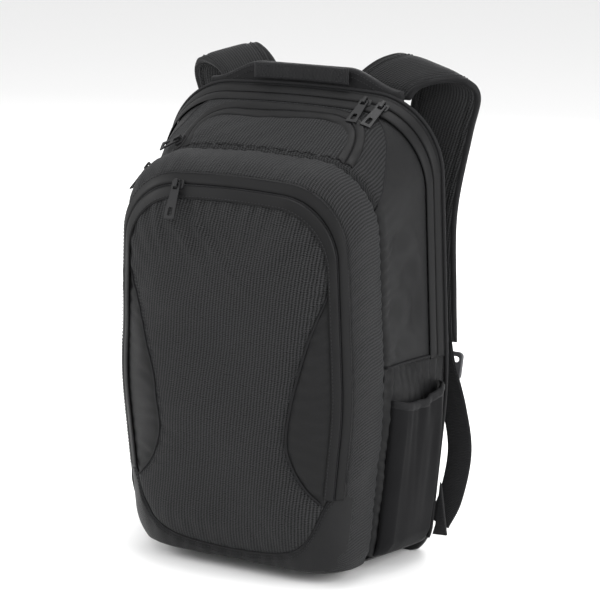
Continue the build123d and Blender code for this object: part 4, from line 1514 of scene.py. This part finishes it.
# %% Bottle pockets
POCKET_Y, POCKET_Z, STAND = (-15.0, 50.0), (17.5, 166.0), 9.5
HEM_PROFILE = ((-1.0, -1.0), (-1.2, 0.6), (0.8, 1.2), (3.4, 1.2), (5.0, 0.7), (5.0, -1.0))
for name, sign in (("left", -1), ("right", 1)):
    f, g = spread(0, 1, 90), spread(0, 1, 70)
    y = POCKET_Y[0] + (POCKET_Y[1] - POCKET_Y[0]) * f
    edge = np.minimum(1, np.minimum(f, 1 - f) / 0.12) ** 0.5
    rows = []
    for t in g:
        z = (
            POCKET_Z[0] + (POCKET_Z[1] - POCKET_Z[0] - 6.0 * np.sin(pi * np.clip(f * 1.15, 0, 1))) * t
            + 5.0 * (f - 0.5) * t
        )
        place = np.array([sign * seam_place(a, b) for a, b in zip(y, z)])
        foot = np.minimum(1, t / 0.10) ** 0.5
        fold = (
            (
                np.sin(f * 17 + 1.6 * np.sin(t * 3 + f * 5)) * 1.1
                + np.sin(f * 41 + 1.2 * np.sin(t * 5 + f * 9)) * 0.4 * t
            )
            * (0.25 + 0.75 * t) * edge * foot
        )
        stand = (STAND + 1.8 * np.sin(t * pi * 0.8)) * edge * foot + fold + 0.6
        rows.append(shell_at(place, y, stand, plain=True))
    rows = np.array(rows)
    cloth(f"bottle_mesh_{name}", rows, NET, 0.9, BAG, (f"mesh_pocket_{name}",), flip=sign > 0)
    hem = []
    for dz, out in HEM_PROFILE:
        line = rows[-1].copy()
        line[:, 0] += sign * out * (0.4 + 0.6 * edge)
        line[:, 2] += dz
        hem.append(line)
    cloth(f"bottle_hem_{name}", np.array(hem), EDGING, 0.9, BAG, (f"pocket_hem_{name}",), flip=sign > 0)
    for lift in (0.6, 3.4):
        line = rows[-1].copy()
        line[:, 0] += sign * 1.5
        line[:, 2] += lift
        sew(BAG, line[4:-4])

# %% [markdown]
# ## Hidden stiffeners and the laptop sleeve
# The stiffeners keep their model shape and get eased edges, because they are cut from flat
# board. The laptop sleeve is drawn afresh as a sheet of lining.

# %% Stiffeners
softened("frame_sheet", 0.4, BOARD, BAG)
softened("base_board", 0.6, BOARD, BAG)
rows = spread(17, 299, 30)
x = np.repeat(spread(-119, 119, 60)[None], 30, axis=0)
z = np.repeat(rows[:, None], 60, axis=1)
edge = ease((119 - np.abs(x)) / 10)
sag = 33.8 + 20.5 * (1 - edge) - 0.8 * np.cos(x / 119 * pi / 2) * (z / 299)
cloth("sleeve_cloth", np.stack([x, sag, z], axis=-1), LINING, 1.0, BAG, ("laptop_sleeve",), uv=(x, z))

# %% [markdown]
# ## Sliders and pulls
# The sliders and their pull tabs are cast metal, blackened. Their model shapes are right, so a
# bevelled copy of each is enough.

# %% Zip sliders
for name in ("main_slider_left", "main_slider_right", "front_slider", "compartment_slider", "top_slider"):
    softened(name, 0.55, GUNMETAL, name)
    softened(name + "_pull", 0.35, GUNMETAL, name + "_pull")

# %% [markdown]
# ## The stitching
# All the stitch lines noted for one body become one mesh, which rides with that body.

# %% Sew all the stitch lines
for body, paths in SEAMS.items():
    run_along(f"stitches_{body}", paths, STITCHER, STITCH_IDS, 3.4, 2.5, 0.75, body=body)
print("stitch lines", sum(len(p) for p in SEAMS.values()))

# %% [markdown]
# ## Floor, light and camera
# A plain pale floor and soft studio light. The camera looks from the front's left side and a
# little above, with a long lens.

# %% Stage
floor_book = Book("studio_floor")
floor_book.finish((0.96, 0.96, 0.96), 0.8)
bpy.ops.mesh.primitive_plane_add(size=60, location=(0, 0, -0.0005))
floor = bpy.context.object
floor.name = "floor"
floor.data.materials.append(floor_book.material)

bpy.context.scene.view_settings.view_transform = "Standard"
world = bpy.data.worlds.new("studio")
bpy.context.scene.world = world
world.use_nodes = True
world.node_tree.nodes["Background"].inputs[0].default_value = (1, 1, 1, 1)
world.node_tree.nodes["Background"].inputs[1].default_value = 0.85


def softbox(name, place, aim, size, power):
    light = bpy.data.lights.new(name, "AREA")
    light.shape, light.size, light.energy = "SQUARE", size, power
    lamp = bpy.data.objects.new(name, light)
    bpy.context.scene.collection.objects.link(lamp)
    lamp.location = place
    lamp.rotation_euler = (Vector(aim) - Vector(place)).to_track_quat("-Z", "Y").to_euler()


softbox("left", (-1.9, -0.9, 1.1), (0, 0, 0.22), 1.0, 24)
softbox("right", (1.7, -0.2, 0.9), (0, 0, 0.22), 1.0, 24)
softbox("front", (0.5, -1.9, 1.8), (0, 0, 0.25), 0.9, 10)
softbox("top", (0.1, 0.2, 2.2), (0, 0, 0.3), 1.1, 24)
softbox("rim", (-0.4, 1.8, 1.3), (0, 0, 0.3), 1.0, 20)

AZ, EL, DISTANCE, RIGHT, UP = radians(29), radians(14), 2.2, 0.026, 0.236
look = Vector((sin(AZ) * cos(EL), -cos(AZ) * cos(EL), sin(EL)))
right = Vector((cos(AZ), sin(AZ), 0))
up = look.cross(right)
target = right * RIGHT + up * UP
data = bpy.data.cameras.new("view")
data.sensor_width, data.lens = 36, 138.6
camera = bpy.data.objects.new("view", data)
bpy.context.scene.collection.objects.link(camera)
camera.location = target + look * DISTANCE
camera.rotation_euler = Matrix((right, up, look)).transposed().to_euler()
bpy.context.scene.camera = camera
